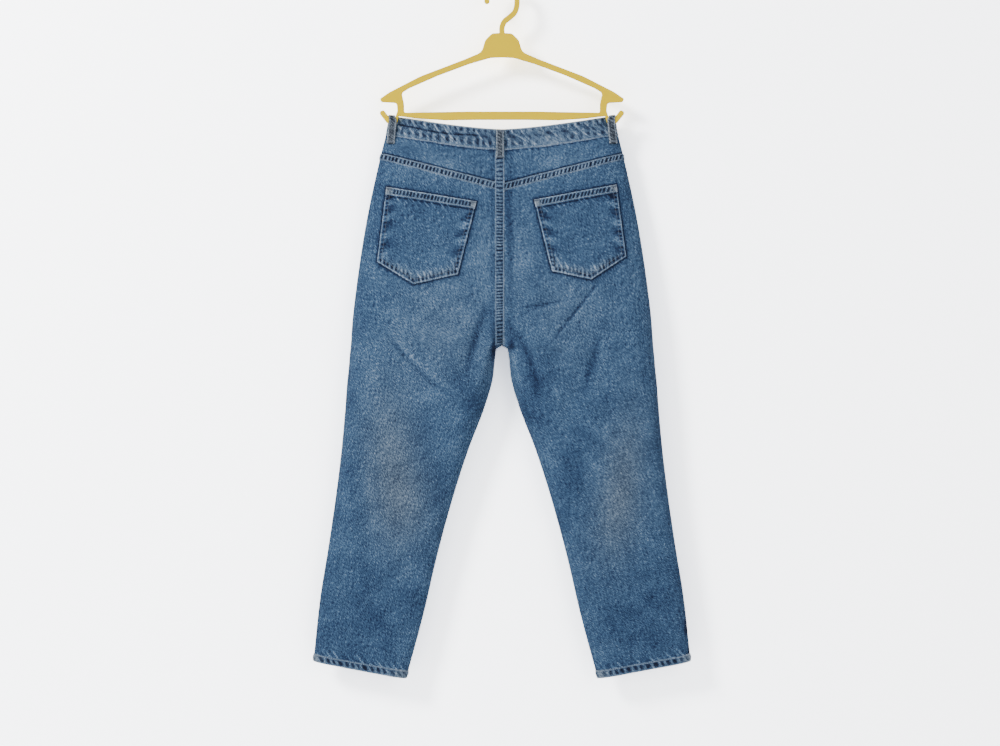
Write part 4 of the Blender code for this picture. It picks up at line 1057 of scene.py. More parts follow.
print("pieces of raised seam:", len(seam_pieces))

# %% [markdown]
# ## Waistband
# The waistband is one folded strip that runs round the body and overlaps itself at the front, where it
# buttons. It is the stiffest cloth on the garment, and the loops that carry it pull it into slanted
# creases, which wash to near white. Its grid runs along the whole strip, so the overlap and both turned
# corners are in one mesh.

# %% The waistband's run
OVERLAP, OVERLAP_RAMP = 16.0, (26.0, 58.0)
BAND_STEP = 1.5
WAIST_X = section_at(np.array([WAIST]), "back")["x_side"][0]


def band_run():
    """Faces, signed shares and lifts along the strip, from its upper end round the back to its under end."""
    arcs = np.linspace(0, 1, int(WAIST_X / BAND_STEP))
    back = even_shares(np.array([WAIST]), arcs, "back")[0][0]
    front = even_shares(np.array([WAIST]), arcs, "front")[0][0]
    beyond = np.arange(OVERLAP, 0, -BAND_STEP) / WAIST_X
    runs = [("front", beyond), ("front", -np.maximum(front, ON_CENTRE)), ("back", -back[-2::-1]),
            ("back", back[1:-1]), ("front", front[::-1]), ("front", -beyond[::-1])]
    lifts = []
    for number, (_, shares) in enumerate(runs):
        ramp = np.clip((OVERLAP_RAMP[1] + shares * WAIST_X) / (OVERLAP_RAMP[1] - OVERLAP_RAMP[0]), 0, 1)
        lifts.append(WAISTBAND_PROUD + (WAISTBAND_WALL + SEAM_GAP) * ramp * (number < 2))
    return runs, lifts


def band_sheet(drops):
    """Base points, normals and lifts of the strip, on a grid of these drops by its stations."""
    runs, lifts = band_run()
    bases, normals = [], []
    for face, shares in runs:
        grid_drop, grid_share = np.meshgrid(drops, shares, indexing="ij")
        bases.append(base_point(grid_drop, grid_share, face))
        normals.append(base_normal(grid_drop, grid_share, face))
    base, normal = np.concatenate(bases, axis=1), np.concatenate(normals, axis=1)
    return base, normal, np.concatenate(lifts)[None, :] + 0 * base[..., 0]


# %% The waistband's cloth
# The strip's length is measured along this row of its grid, a little above its middle.
RUN_ROW = 16
band_drops = np.concatenate([[0, 0.15, 0.4, 0.8, 1.3], np.linspace(1.9, WAIST - 2.2, 26),
                             WAIST - SEAM_GAP - np.array([1.3, 0.8, 0.4, 0.15, 0.0])])
base, normal, lift = band_sheet(band_drops)
steps = np.linalg.norm(np.diff(base[RUN_ROW], axis=0), axis=1)
run = summed(steps)[None, :] + 0 * lift
down = band_drops[:, None] + 0 * lift
up = WAIST - SEAM_GAP - down
on_back = smooth((12 - base[..., 1]) / 6)

# %% The waistband's creases and wear
bent = down + 0.012 * (down - 18) ** 2
pulls = puckers(run, bent, 15.5, 0.95, 0, 0.0) ** 4
pulls = pulls * smooth((down - 2) / 4) * smooth((up - 3) / 8)
upper = hollows(run, down, 10.2, 0.25, 1, 0.42) * bell(down - 5.0, 3.6)
lower = hollows(run, down, 12.8, 0.15, 2, 0.5) * bell(up - 10.5, 6.0)
middle = hollows(run, down, 23.0, 1.3, 3, 0.5) * bell(down - 14.0, 5.0)
crease = bell(down - 15.0 - 1.5 * np.sin(run / 23), 1.4) * smooth((-30 - base[..., 0]) / 20) * on_back
rows_of_thread = bell(down - STITCH_INSET, 0.8) + bell(up - STITCH_INSET, 0.8)
roll = rolled(np.minimum(down, up))
height = (0.8 * pulls - 0.45 * lower - 0.45 * upper - 0.35 * middle - 0.6 * crease - 0.2 * rows_of_thread
          - 0.7 * roll)
reach = smooth((down - 1) / 4) * smooth((up - 3) / 4)
lines = (hairs(run, bent, 15.5, 0.95, 0) + 0.8 * hairs(run, bent, 19.0, 1.5, 2, 1.0)) * reach
uneven = 0.62 + 0.38 * np.sin(run / 41.0 + 2.0 * np.sin(run / 97.0))
# The dark line along the long crease is painted shade in its trough.
shade = (1.3 * lines - uneven * (1.25 * lower + 1.1 * upper) - 0.7 * middle - 0.9 * crease
         + 0.1 * rows_of_thread + 0.34 * bell(up, 1.4) + 0.34 * bell(down - 0.6, 1.0) + 0.30
         - 0.2 * bell(down - 12, 7))
grey = 0.35 + 0.3 * pulls
places = np.stack([run, down], axis=-1)
outer = base + normal * (lift + height)[..., None]
inner = base + normal * (lift - WAISTBAND_WALL + 0.5 * roll)[..., None]
band = wall("waistband_cloth", outer, inner, places, shade, grey, DENIM_CLOTH)
cut_out(band, outer, "waistband", rests_on=["belt_loop_back_left_cloth", "belt_loop_back_right_cloth"])


# %% [markdown]
# ## Back pockets
# Each pocket is a five-cornered patch, turned in all round and stitched down with two rows, with a wider
# hem at its mouth. The turned edge makes a raised rim that the wash rubs pale, and the rows of thread
# pucker it. The left and right patches are set a little differently, as they are on the garment in the
# photograph.

# %% Patch with five corners
POCKET_STEP = 1.35
POCKET_HEM, POCKET_RIM, POCKET_LIFT = 13.5, 8.6, LAYER_GAP + DENIM


def pocket_flat(side_name):
    """Flat places of the patch: straight lines from its mouth to its foot, which bends at the point."""
    corner = {key: np.array(value) for key, value in POCKET_CORNERS[side_name].items()}
    halves = np.linspace(0, 1, int(80 / POCKET_STEP))[:, None]
    outer_foot = corner["outer_low"] + (corner["point"] - corner["outer_low"]) * halves
    inner_foot = corner["point"] + (corner["inner_low"] - corner["point"]) * halves[1:]
    foot = np.concatenate([outer_foot, inner_foot])
    along = np.linspace(0, 1, len(foot))[:, None]
    head = corner["outer_top"] + (corner["inner_top"] - corner["outer_top"]) * along
    down = np.linspace(0, 1, int(150 / POCKET_STEP))[:, None, None]
    return head[None] + (foot - head)[None] * down


def pocket_edges(side_name, flat):
    """Distances from the mouth and from the other edges, and how far along those edges, in millimetres."""
    outline = pocket_outline(side_name)
    edges = np.roll(outline[:-1], -1, axis=0)
    mouth, along_mouth = to_line(flat, outline[:2])
    rest, along_rest = to_line(flat, edges)
    length = np.linalg.norm(np.diff(edges, axis=0), axis=1).sum()
    return mouth, along_mouth * np.linalg.norm(outline[1] - outline[0]), rest, along_rest * length


# %% Relief and wear of a pocket
def pocket_relief(side_name, flat):
    """Height, shade and greyness over the patch, from its distances to the mouth and to its other edges."""
    mouth, along_mouth, rest, along_rest = pocket_edges(side_name, flat)
    x, z = flat[..., 0], flat[..., 1]
    above_point = z - POCKET_CORNERS[side_name]["point"][1]
    hem = smooth((POCKET_HEM + 0.8 - mouth) / 1.6)
    body = 1 - hem
    rim = smooth((POCKET_RIM + 0.8 - rest) / 1.6) * body
    in_hem = smooth((mouth - 1) / 3) * smooth((POCKET_HEM - STITCH_INSET - mouth) / 3)
    in_hem = in_hem * smooth((rest - 3) / 4)
    in_rim = smooth((rest - 1) / 2) * smooth((POCKET_RIM + 3 - rest) / 4) * body
    hem_ridge = puckers(along_mouth, mouth, 5.9, 0.15, 0)
    rim_ridge = puckers(along_rest, rest, 7.4, 0.5, 1)
    threads = (bell(rest - STITCH_INSET, 0.8) + bell(rest - POCKET_RIM + 1, 0.8)) * body
    threads = threads + bell(mouth - POCKET_HEM + STITCH_INSET, 0.8)
    upright = puckers(x, z, 11.0, 0.1, 2) * bell(rest - 13, 7) * smooth((62 - above_point) / 30)
    below_hem = mouth - POCKET_HEM
    pull = np.clip(1 - below_hem / 15, 0, 1) * body
    pulls = puckers(x, mouth, 9.5, 0.9, 3)
    height = (0.7 * hem + 0.45 * rim + 0.45 * in_hem * hem_ridge + 0.4 * in_rim * rim_ridge - 0.3 * threads
              + 0.35 * upright + 0.3 * pull * pulls - 0.7 * rolled(np.minimum(mouth, rest)))

    corner = bell(rest - 4, 7) * bell(mouth - 6, 7)
    low = bell(above_point - 16, 26) * bell(rest - 8, 9)
    sides = smooth((above_point - 34) / 20) * body
    foot = (1 - sides) * body
    bars = hollows(x, -z, 6.2, -0.3, 0) * in_hem * (1 - corner)
    specks = hollows(along_rest, rest, 7.2, 0.2, 1, 0.45) * bell(rest - 5.5, 3.4) * body
    blots = hollows(along_rest, rest, 31.0, 0.5, 2, 0.55) * bell(rest - 10, 10) * sides
    pale = hollows(along_rest + 15.5, rest, 31.0, 0.5, 2, 0.5) * bell(rest - 10, 8) * sides
    rays = hollows(x, z, 6.3, -0.1, 3, 0.5) * bell(rest - 6.5, 5.5) * foot
    worn_line = hairs(x, -z, 12.0, 0.55, 2, 1.3) * bell(rest - 13, 9) * foot
    slash = hairs(x, mouth, 9.5, 0.9, 3, 1.2)
    shade = 0.34 * hem - 1.7 * bars - 1.1 * specks - 0.50 * blots + 0.44 * pale - 1.2 * rays
    shade = shade + 1.3 * worn_line + in_rim * (0.12 + 0.2 * rim_ridge) + 0.16 * corner + 0.42 * low
    shade = shade + 0.75 * bell(rest - 1.0, 1.2) + 0.50 * bell(mouth - 0.7, 1.2)
    # The dark terms under the hem are painted shadow of the raised hem.
    shade = shade + pull * (1.5 * slash - 0.26) - 0.7 * bell(below_hem - 1.2, 1.8) * body
    shade = shade - 0.45 * bell(below_hem - 5, 6) * bell(rest - 8, 9) * body
    return height, shade, 0.8 * corner + 0.45 * low + 0.35 * hem


# %% The pockets' cloth
for side_name, _ in SIDES:
    flat = pocket_flat(side_name)
    drop, share = drop_at(flat[..., 0], flat[..., 1], "back")
    base, normal, cloth_height, cloth_shade = cloth_relief(drop, share, "back")
    height, shade, grey = pocket_relief(side_name, flat)
    over = cloth_height + POCKET_LIFT + height
    outer, inner = two_sides(base, normal, over, cloth_height + LAYER_GAP, "back")
    places = np.stack([flat[..., 0], -flat[..., 1]], axis=-1)
    shade = shade + cloth_shade + 0.5 * fades(base, share, "back")[0] - 0.07
    patch = wall(f"back_pocket_{side_name}_cloth", outer, inner, places, shade, grey, DENIM_CLOTH)
    cut_out(patch, outer, f"back_pocket_{side_name}", rests_on=[backs[side_name]])

# %% [markdown]
# ## Fly
# The fly's flap is edge-stitched down the wearer's left front in the curve that gives jeans their J. It
# lies on the front panel as one more layer.

# %% Fly flap
FLY_WIDTH, FLY_LEVELS, FLY_STRAIGHT_SHARE, FLY_WALL = 36.0, 2.45, 0.62, 1.2
FLY_FACE = LAYER_GAP + FLY_WALL
FLY_TOP, FLY_FOOT = WAIST + SEAM_GAP, drop_of(FLY_LEVELS + 1)
FLY_BEND = FLY_TOP + FLY_STRAIGHT_SHARE * (FLY_FOOT - FLY_TOP)


def fly_width(drops):
    """Straight down to the bend, then a quarter of an ellipse."""
    down = np.clip((drops - FLY_BEND) / (FLY_FOOT - FLY_BEND), 0, 1)
    return FLY_WIDTH * np.sqrt(1 - down**2)


turn = np.sin(np.radians(np.linspace(0, 83, 26)))
rows = np.concatenate([np.arange(FLY_TOP, FLY_BEND, 2.2), FLY_BEND + (FLY_FOOT - FLY_BEND) * turn])
across = np.linspace(0, 1, 20)
x = -fly_width(rows)[:, None] * across
share = x / section_at(rows, "front")["x_side"][:, None] - ON_CENTRE
drop = rows[:, None] + 0 * x
base, normal, height, shade = cloth_relief(drop, share, "front")
from_edge = fly_width(rows)[:, None] - np.abs(x)
ridge = puckers(drop, from_edge, 7.0, 0.3, 2)
height = height + LAYER_GAP + FLY_WALL + 0.35 * ridge * bell(from_edge - 5, 3) - 0.6 * rolled(from_edge)
shade = shade + 0.9 * (ridge**2 - 0.3) * bell(from_edge - 5, 3.5) + 0.6 * bell(from_edge - 1.4, 1.2)
# The dark line at the flap's very edge is painted shadow of its raised edge.
shade = shade - 0.9 * bell(from_edge, 0.8) + 0.12
outer, inner = two_sides(base, normal, height, LAYER_GAP + 0 * drop, "front")
places = np.stack([x, drop], axis=-1)
fly = wall("fly_cloth", outer, inner, places, shade, 0.05, DENIM_CLOTH)
cut_out(fly, outer, "fly_flap", rests_on=["front_left_cloth"])

# %% [markdown]
# ## Belt loops
# A loop is a strip folded in three with two rows of stitching, tacked down at both ends. The two side loops
# are what the jeans hang by: each goes up over the hanger's prong and is drawn out by it. The path of a
# loop is a short table, read as smooth curves, and the loop is a ribbon carried along that path.

# %% Paths of the loops
LOOP_WALL, LOOP_WIDTH, LOOP_BOW, LOOP_GAP = 1.8, 13.5, 2.6, 0.8
HANGER_THICK, HUNG_GAP = 5.0, 0.35
HUNG_UNDERSIDE_Y = -(HANGER_THICK / 2 + HUNG_GAP)
LOOP_ROWS = np.linspace(0, 1, 9)
PLAIN_LOOP = tuple((d, LOOP_BOW * math.sin(math.pi * d) ** 0.8, 0.0, 0.0) for d in LOOP_ROWS)
HUNG_LOOP = (
    (0.060, 0.0, 0.00, 2.7), (0.058, 0.0, 0.45, 2.7), (0.066, 0.0, 0.88, 2.7), (0.084, 0.0, 1.00, 2.7),
    (0.14, 0.0, 1.00, 0.7), (0.24, 0.0, 1.00, 0.0), (0.38, 0.0, 1.00, 0.0), (0.52, 0.0, 0.86, 0.0),
    (0.64, 0.0, 0.52, 0.0), (0.76, 0.0, 0.18, 0.0), (0.87, 0.0, 0.02, 0.0), (1.0, 0.0, 0.0, 0.0),
)
LOOPS = (
    ("belt_loop_back", "back", (-3.4, -250.4), (-3.4, -300.0), PLAIN_LOOP),
    ("belt_loop_back_left", "back", (-186.2, -224.4), (-191.5, -274.6), HUNG_LOOP),
    ("belt_loop_back_right", "back", (186.2, -224.4), (191.5, -274.6), HUNG_LOOP),
    ("belt_loop_front_left", "front", (-104.0, -265.5), (-104.0, -313.0), PLAIN_LOOP),
    ("belt_loop_front_right", "front", (104.0, -265.5), (104.0, -313.0), PLAIN_LOOP),
)
LOOP_FINE_ROWS, LOOP_FINE_COLUMNS = 64, 21


def fine_path(path):
    """The path's columns at more rows, evenly between its own, as smooth curves without overshoot."""
    steps = np.linspace(0, len(path) - 1, LOOP_FINE_ROWS)
    return [monotone(steps, np.arange(len(path)), column)[:, None] for column in np.array(path).T]


def loop_surface(face, top, bottom, path):
    """The ribbon's underside and its normals, and each point's places along and across the ribbon."""
    down, off, reach, gathered = fine_path(path)
    ribbon = np.linspace(-0.5, 0.5, LOOP_FINE_COLUMNS)[None, :]
    across = ribbon * (LOOP_WIDTH - gathered)
    run = np.array(bottom) - np.array(top)
    square = np.array([-run[1], run[0]]) / np.hypot(*run)
    x = top[0] + run[0] * down + square[0] * across + np.sign(top[0]) * gathered
    z = top[1] + run[1] * down + square[1] * across
    drop, share = drop_at(x, z, face)
    under = base_point(drop, share, face) + base_normal(drop, share, face) * WAISTBAND_PROUD
    outward_y = -1 if face == "back" else 1
    under[..., 1] += outward_y * (LOOP_GAP + off)
    under[..., 1] += (HUNG_UNDERSIDE_Y - under[..., 1]) * reach
    normal = np.cross(np.gradient(under, axis=0), np.gradient(under, axis=1))
    normal /= np.linalg.norm(normal, axis=-1, keepdims=True)
    normal *= np.sign((normal[..., 1] * outward_y).sum())
    step = np.linalg.norm(np.diff(under[:, LOOP_FINE_COLUMNS // 2], axis=0), axis=1)
    along = summed(step)[:, None] + 0 * across
    return under, normal, along, ribbon * LOOP_WIDTH + 0 * along


# %% The loops' cloth
loops = {}
for number, (name, face, top, bottom, path) in enumerate(LOOPS):
    under, normal, along, across = loop_surface(face, top, bottom, path)
    from_edge = LOOP_WIDTH / 2 - np.abs(across)
    from_end = np.minimum(along, along.max() - along)
    ridge = puckers(along, across, 6.5, 0.6, number % 4)
    threads = bell(from_edge - 2.2, 0.8)
    height = (LOOP_WALL + 0.25 * ridge * smooth(from_edge / 3) - 0.25 * threads - 0.5 * rolled(from_edge)
              + 0.35 * bell(from_end - 3, 2.5) - 0.4 * rolled(from_end))
    mottle = hollows(along, across, 5.2, 0.6, number % 4) * smooth(from_edge / 3)
    # The dark line at each end is painted shade where the end turns under; the pale edges are wear.
    shade = (0.14 + 0.5 * (ridge - 0.4) - 0.8 * mottle + 0.55 * bell(from_edge - 1.0, 1.2)
             - 0.6 * bell(from_end, 1.2) + 0.4 * bell(from_end - 2.5, 1.5))
    places = np.stack([across + 37.0 * number, along], axis=-1)
    over = under + normal * height[..., None]
    loop = wall(name + "_cloth", over, under, places, shade, 1.3, LOOP_CLOTH, inside=0.3)
    loops[name] = (under, normal, height)
    cut_out(loop, over, name, rests_on=["hanger_moulding"] if path is HUNG_LOOP else ["waistband_cloth"])

# %% [markdown]
# ## Stitches
# Topstitching on jeans is thick thread in long stitches. Each stitch is a small capsule that follows the
# cloth, rises in its middle and goes in at both ends. A row of them is worked out at once: the capsules'
# rings are placed along a line of points, so a row bends wherever its seam does. A bar tack is the same
# thing, packed close together and laid across.

# %% Rows of stitches
STITCH_PITCH, STITCH_LENGTH, THREAD = 3.3, 2.7, 0.42
RING_PLACES = np.array([0.0, 0.16, 0.5, 0.84, 1.0])
RING_SIZES = np.array([0.45, 0.92, 1.0, 0.92, 0.45])
RING_RISES = np.array([-0.22, 0.16, 0.30, 0.16, -0.22])
RING_SIDES = 5
TACK_STITCHES, TACK_LENGTH, TACK_RAISED = 15, 3.0, 0.15


def capsules(centres, normals, sides):
    """Points and faces of capsules: centres is (stitch, ring, 3), and each ring is a five-sided circle."""
    angles = np.arange(RING_SIDES) * math.tau / RING_SIDES
    circle = (normals[:, :, None] * np.cos(angles)[:, None] + sides[:, :, None] * np.sin(angles)[:, None])
    points = centres[:, :, None] + THREAD * RING_SIZES[:, None, None] * circle
    stitch_points = RING_PLACES.size * RING_SIDES
    first = np.arange(len(centres))[:, None] * stitch_points
    grid = np.meshgrid(range(RING_PLACES.size - 1), range(RING_SIDES), indexing="ij")
    ring, spoke = (numbers.ravel()[None, :] for numbers in grid)
    here, ahead = ring * RING_SIDES + spoke, ring * RING_SIDES + (spoke + 1) % RING_SIDES
    corners = (here, ahead, ahead + RING_SIDES, here + RING_SIDES)
    walls = np.stack([first + corner for corner in corners], axis=-1)
    round_once = np.arange(RING_SIDES)
    ends = np.stack([first + round_once[::-1], first + stitch_points - RING_SIDES + round_once], axis=1)
    return points.reshape(-1, 3), walls.reshape(-1, 4), ends.reshape(-1, RING_SIDES)


def stitch_row(line, normals, pitch=STITCH_PITCH, length=STITCH_LENGTH):
    """Capsules along a line of points: ring places are read off the line's own length."""
    steps = np.linalg.norm(np.diff(line, axis=0), axis=1)
    run = summed(steps)
    starts = np.arange(0.4 * pitch, run[-1] - length, pitch)
    at = starts[:, None] + length * RING_PLACES
    centres = np.stack([np.interp(at, run, line[:, k]) for k in range(3)], axis=-1)
    up = np.stack([np.interp(at, run, normals[:, k]) for k in range(3)], axis=-1)
    along = np.gradient(centres, axis=1)
    along /= np.linalg.norm(along, axis=-1, keepdims=True)
    up -= along * (up * along).sum(axis=-1, keepdims=True)
    up /= np.linalg.norm(up, axis=-1, keepdims=True)
    return capsules(centres + up * RING_RISES[:, None], up, np.cross(along, up))


def bar_tack(centre, normal, along, width):
    """Stitches side by side over this width of a short line, each one lying square across the line."""
    along = along / np.linalg.norm(along)
    across = np.cross(normal, along)
    offsets = np.linspace(-0.5, 0.5, TACK_STITCHES) * width
    rings = (RING_PLACES - 0.5) * TACK_LENGTH
    centres = (centre + along * offsets[:, None, None] + across * rings[None, :, None]
               + normal * (RING_RISES + TACK_RAISED)[None, :, None])
    full = np.ones(centres.shape)
    return capsules(centres, full * normal, full * along)


def sewn(name, rows, dull=()):
    """One mesh of rows of stitches, and of rows and bar tacks that are marked for a darker thread."""
    points, faces, marks, first = [], [], [], 0
    for number, (row_points, walls, ends) in enumerate([*rows, *dull]):
        points.append(row_points)
        marks.append(np.full(len(row_points), float(number >= len(rows))))
        faces += (walls + first).tolist() + (ends + first).tolist()
        first += len(row_points)
    values = {"dull": np.concatenate(marks)}
    thread = new_piece(name, np.concatenate(points), faces, THREAD_MATERIAL, values, sharp=180)
    print(name, "has", first // (RING_PLACES.size * RING_SIDES), "stitches")
    return thread


# %% [markdown]
# The thread is a pale grey-blue, as polyester is after many washes. A fine noise in its relief stands for
# the fibres of its plies.

# %% Thread material
def thread_material():
    """Two colours mixed by a broad noise, darkened where a row is dull, with a fine noise as relief."""
    made, tree, shader = principled("thread", {"Roughness": 0.65, "Sheen Weight": 0.2})
    place = tree.nodes.new("ShaderNodeTexCoord").outputs["Object"]
    worn = noise(tree, place, 90.0, 2.0, 0.6)
    plies = noise(tree, place, 2600.0, 1.0, 0.5)
    colour = mixed(tree, worn, (0.10, 0.15, 0.24), (0.38, 0.44, 0.54))
    colour = mixed(tree, attribute(tree, "dull"), colour, (0.10, 0.13, 0.18))
    tree.links.new(colour, shader.inputs["Base Color"])
    bumped(tree, shader, plies, 0.5, 0.0002)
    return made


THREAD_MATERIAL = thread_material()


# %% Seams of the backs
THREAD_SUNK = 0.15
SEAM_THREAD_LIFT, HEM_THREAD_LIFT = SEAM_LIFT - THREAD_SUNK, HEM_OUT - 0.1


def row_along(drop, face, side, lift, count=400):
    """A row across one panel at a fixed drop, from the inner seam to the side."""
    arcs = np.linspace(0.004, 0.992, count)
    shares = even_shares(np.array([drop]), arcs, face)[0][0]
    return stitch_row(*on_cloth(np.full(count, drop), side * shares, face, lift))


for side_name, side in SIDES:
    rows = [row_along(YOKE_BAND_TOP + STITCH_INSET, "back", side, SEAM_THREAD_LIFT),
            row_along(YOKE_BAND_TOP + FELL_WIDTH - STITCH_INSET, "back", side, SEAM_THREAD_LIFT),
            row_along(HEM - HEM_WIDTH + STITCH_INSET, "back", side, HEM_THREAD_LIFT)]
    strips = [seam_pieces[f"yoke_{side_name}"], seam_pieces[f"hem_back_{side_name}"]]
    if side < 0:
        drops = np.linspace(CENTRE_TOP + 1, CENTRE_FOOT - 1, 500)
        lift = CENTRE_LIFT - THREAD_SUNK + CLIMB * over_yoke(drops)
        for x in (CENTRE_FROM + STITCH_INSET, CENTRE_TO - STITCH_INSET):
            shares = x / section_at(drops, "back")["x_side"]
            rows.append(stitch_row(*on_cloth(drops, shares, "back", lift)))
        strips.append(seam_pieces["centre"])
    sewn_on[f"back_{side_name}_cloth"] = [*strips, sewn(f"stitches_back_{side_name}", rows)]


# %% Seams of the fronts
MOUTH_ROWS, MOUTH_TACK_INSET = (2.0, 8.5), 5.2


def tack_on(drop, share, face, lift, along, width):
    """A bar tack at one place of the cloth, whose drop and share are arrays of one number."""
    centre, normal = on_cloth(drop, share, face, lift)
    return bar_tack(centre[0], normal[0], np.array(along), width)


for side_name, side in SIDES:
    rows = [row_along(HEM - HEM_WIDTH + STITCH_INSET, "front", side, HEM_THREAD_LIFT)]
    drops = np.linspace(MOUTH_TOP + 1, MOUTH_FOOT - 2, 300)
    reach = even_shares(drops, [1.0], "front")[1]
    for inset in MOUTH_ROWS:
        arcs = mouth_share(drops) - inset / reach
        shares = even_shares(drops, arcs[:, None], "front")[0][:, 0]
        rows.append(stitch_row(*on_cloth(drops, side * shares, "front", 0.05)))
    tacks = []
    for tack_drop in (MOUTH_TOP + 5, MOUTH_FOOT - 7):
        drop = np.array([tack_drop])
        arc = mouth_share(drop) - MOUTH_TACK_INSET / even_shares(drop, [1.0], "front")[1]
        share = side * even_shares(drop, arc, "front")[0][0]
        tacks.append(tack_on(drop, share, "front", 0.25, (1.0, 0, -0.2 * side), 9.0))
    sewn_on[f"front_{side_name}_cloth"] = [sewn(f"stitches_front_{side_name}", rows, tacks),
                                           seam_pieces[f"hem_front_{side_name}"]]

# %% Seams of the waistband and the fly
rows = []
for thread_drop in (STITCH_INSET, WAIST - SEAM_GAP - STITCH_INSET):
    base, normal, lift = band_sheet(np.array([thread_drop]))
    rows.append(stitch_row(base[0] + normal[0] * (lift[0] - 0.1)[:, None], normal[0]))
sewn_on["waistband_cloth"] = [sewn("stitches_waistband", rows)]

turn = np.sin(np.radians(np.linspace(0, 76, 60)))
rows = []
for inset in (2.0, 8.0):
    drops = np.concatenate([np.linspace(FLY_TOP + 1, FLY_BEND, 90, endpoint=False),
                            FLY_BEND + (FLY_FOOT - FLY_BEND - inset) * turn])
    x = -np.maximum(fly_width(drops) - inset, 0.5)
    shares = x / section_at(drops, "front")["x_side"]
    rows.append(stitch_row(*on_cloth(drops, shares, "front", FLY_FACE)))
tacks = []
for tack_drop, x in ((FLY_FOOT - 13, -12.0), (FLY_BEND - 22, -FLY_WIDTH + 6)):
    drop = np.array([tack_drop])
    share = x / section_at(drop, "front")["x_side"]
    tacks.append(tack_on(drop, share, "front", FLY_FACE + 0.2, (1.0, 0, 0.6), 8.0))
sewn_on["fly_cloth"] = [sewn("stitches_fly", rows, tacks)]


# %% Seams of the pockets
MOUTH_THREAD_INSET, POCKET_TACK_INSET = 2.2, 5.5
POCKET_SEWN_EDGE = ("inner_top", "inner_low", "point", "outer_low", "outer_top")


def inset_line(side_name, keys, inset, count):
    """Corners moved in from their edges by the inset, where each moved edge meets the next one."""
    outline = pocket_outline(side_name)[:-1]
    middle = outline.mean(axis=0)
    moved = []
    for key in keys:
        k = POCKET_ORDER.index(key)
        before, here, ahead = outline[k - 1], outline[k], outline[(k + 1) % len(outline)]
        squares = [np.array([-v[1], v[0]]) / np.hypot(*v) for v in (here - before, ahead - here)]
        squares = [s * np.sign((middle - here) @ s) for s in squares]
        moved.append(here + np.linalg.solve(np.array(squares), [inset, inset]))
    lengths = summed(np.hypot(*np.diff(moved, axis=0).T))
    at = np.linspace(0, lengths[-1], count)
    return np.stack([np.interp(at, lengths, column) for column in np.array(moved).T], axis=1)


for side_name, _ in SIDES:
    lines = [inset_line(side_name, POCKET_SEWN_EDGE, inset, 600)
             for inset in (STITCH_INSET, POCKET_RIM - 1.0)]
    mouth_line = inset_line(side_name, ("outer_top", "inner_top"), MOUTH_THREAD_INSET, 200)
    mouth_line[:, 1] -= POCKET_HEM - STITCH_INSET - MOUTH_THREAD_INSET
    rows = []
    for flat in [*lines, mouth_line]:
        drop, share = drop_at(flat[:, 0], flat[:, 1], "back")
        lift = POCKET_LIFT + 0.45 * pocket_relief(side_name, flat)[0] + 0.25
        rows.append(stitch_row(*on_cloth(drop, share, "back", lift)))
    dull = [rows.pop(1)]
    ends = [np.array(POCKET_CORNERS[side_name][key]) for key in ("outer_top", "inner_top")]
    for here, other in (ends, ends[::-1]):
        toward = (other - here) / np.hypot(*(other - here))
        x, z = here + toward * POCKET_TACK_INSET - np.array([0, MOUTH_THREAD_INSET])
        drop, share = drop_at(np.array([x]), np.array([z]), "back")
        dull.append(tack_on(drop, share, "back", POCKET_LIFT + 1.1, (toward[0], 0, toward[1]), 9.5))
    sewn_on[f"back_pocket_{side_name}_cloth"] = [sewn(f"stitches_pocket_{side_name}", rows, dull)]

# %% Seams of the loops
FROM_END, BARE_ROWS = 3, slice(2, -2)
for name, (under, normal, height) in loops.items():
    rows = []
    for column in (FROM_END, LOOP_FINE_COLUMNS - 1 - FROM_END):
        up, lift = normal[BARE_ROWS, column], height[BARE_ROWS, column] + 0.05
        rows.append(stitch_row(under[BARE_ROWS, column] + up * lift[:, None], up))
    middle, last = LOOP_FINE_COLUMNS // 2, LOOP_FINE_ROWS - 1 - FROM_END
    hung = name in ("belt_loop_back_left", "belt_loop_back_right")
    tacks = []
    for row in ([last] if hung else [FROM_END, last]):
        centre = under[row, middle] + normal[row, middle] * (height[row, middle] + 0.1)
        tacks.append(bar_tack(centre, normal[row, middle], under[row, -1] - under[row, 0], LOOP_WIDTH - 2.5))
    sewn_on[name + "_cloth"] = [sewn("stitches_" + name, rows, tacks)]

# %% [markdown]
# ## The cut
# Every piece of cloth was cut flat before it was sewn. Its measures are those of its finished grid, and the
# raised strips, hems and stitches that lie on it are named with it.

# %% The cut
sewn_pieces = [cut[0] for cut in cuts] + [piece for pieces in sewn_on.values() for piece in pieces]
print(len(cuts), "pieces of cloth, cut area", round(sum(cut[2] for cut in cuts), 2), "square metres")
print("triangles of cloth and thread:", sum(triangles_of(piece) for piece in sewn_pieces))

# %% [markdown]
# ## Hanger
# Trouser hangers of this kind are moulded in one shot: a flat plate with a round-cornered window, two arms
# that end in prongs, and a ribbon of the same plastic for the hook. One outline with one hole, given a
# thickness and soft edges, is the whole shape. The curve is made a mesh before it is stood upright.

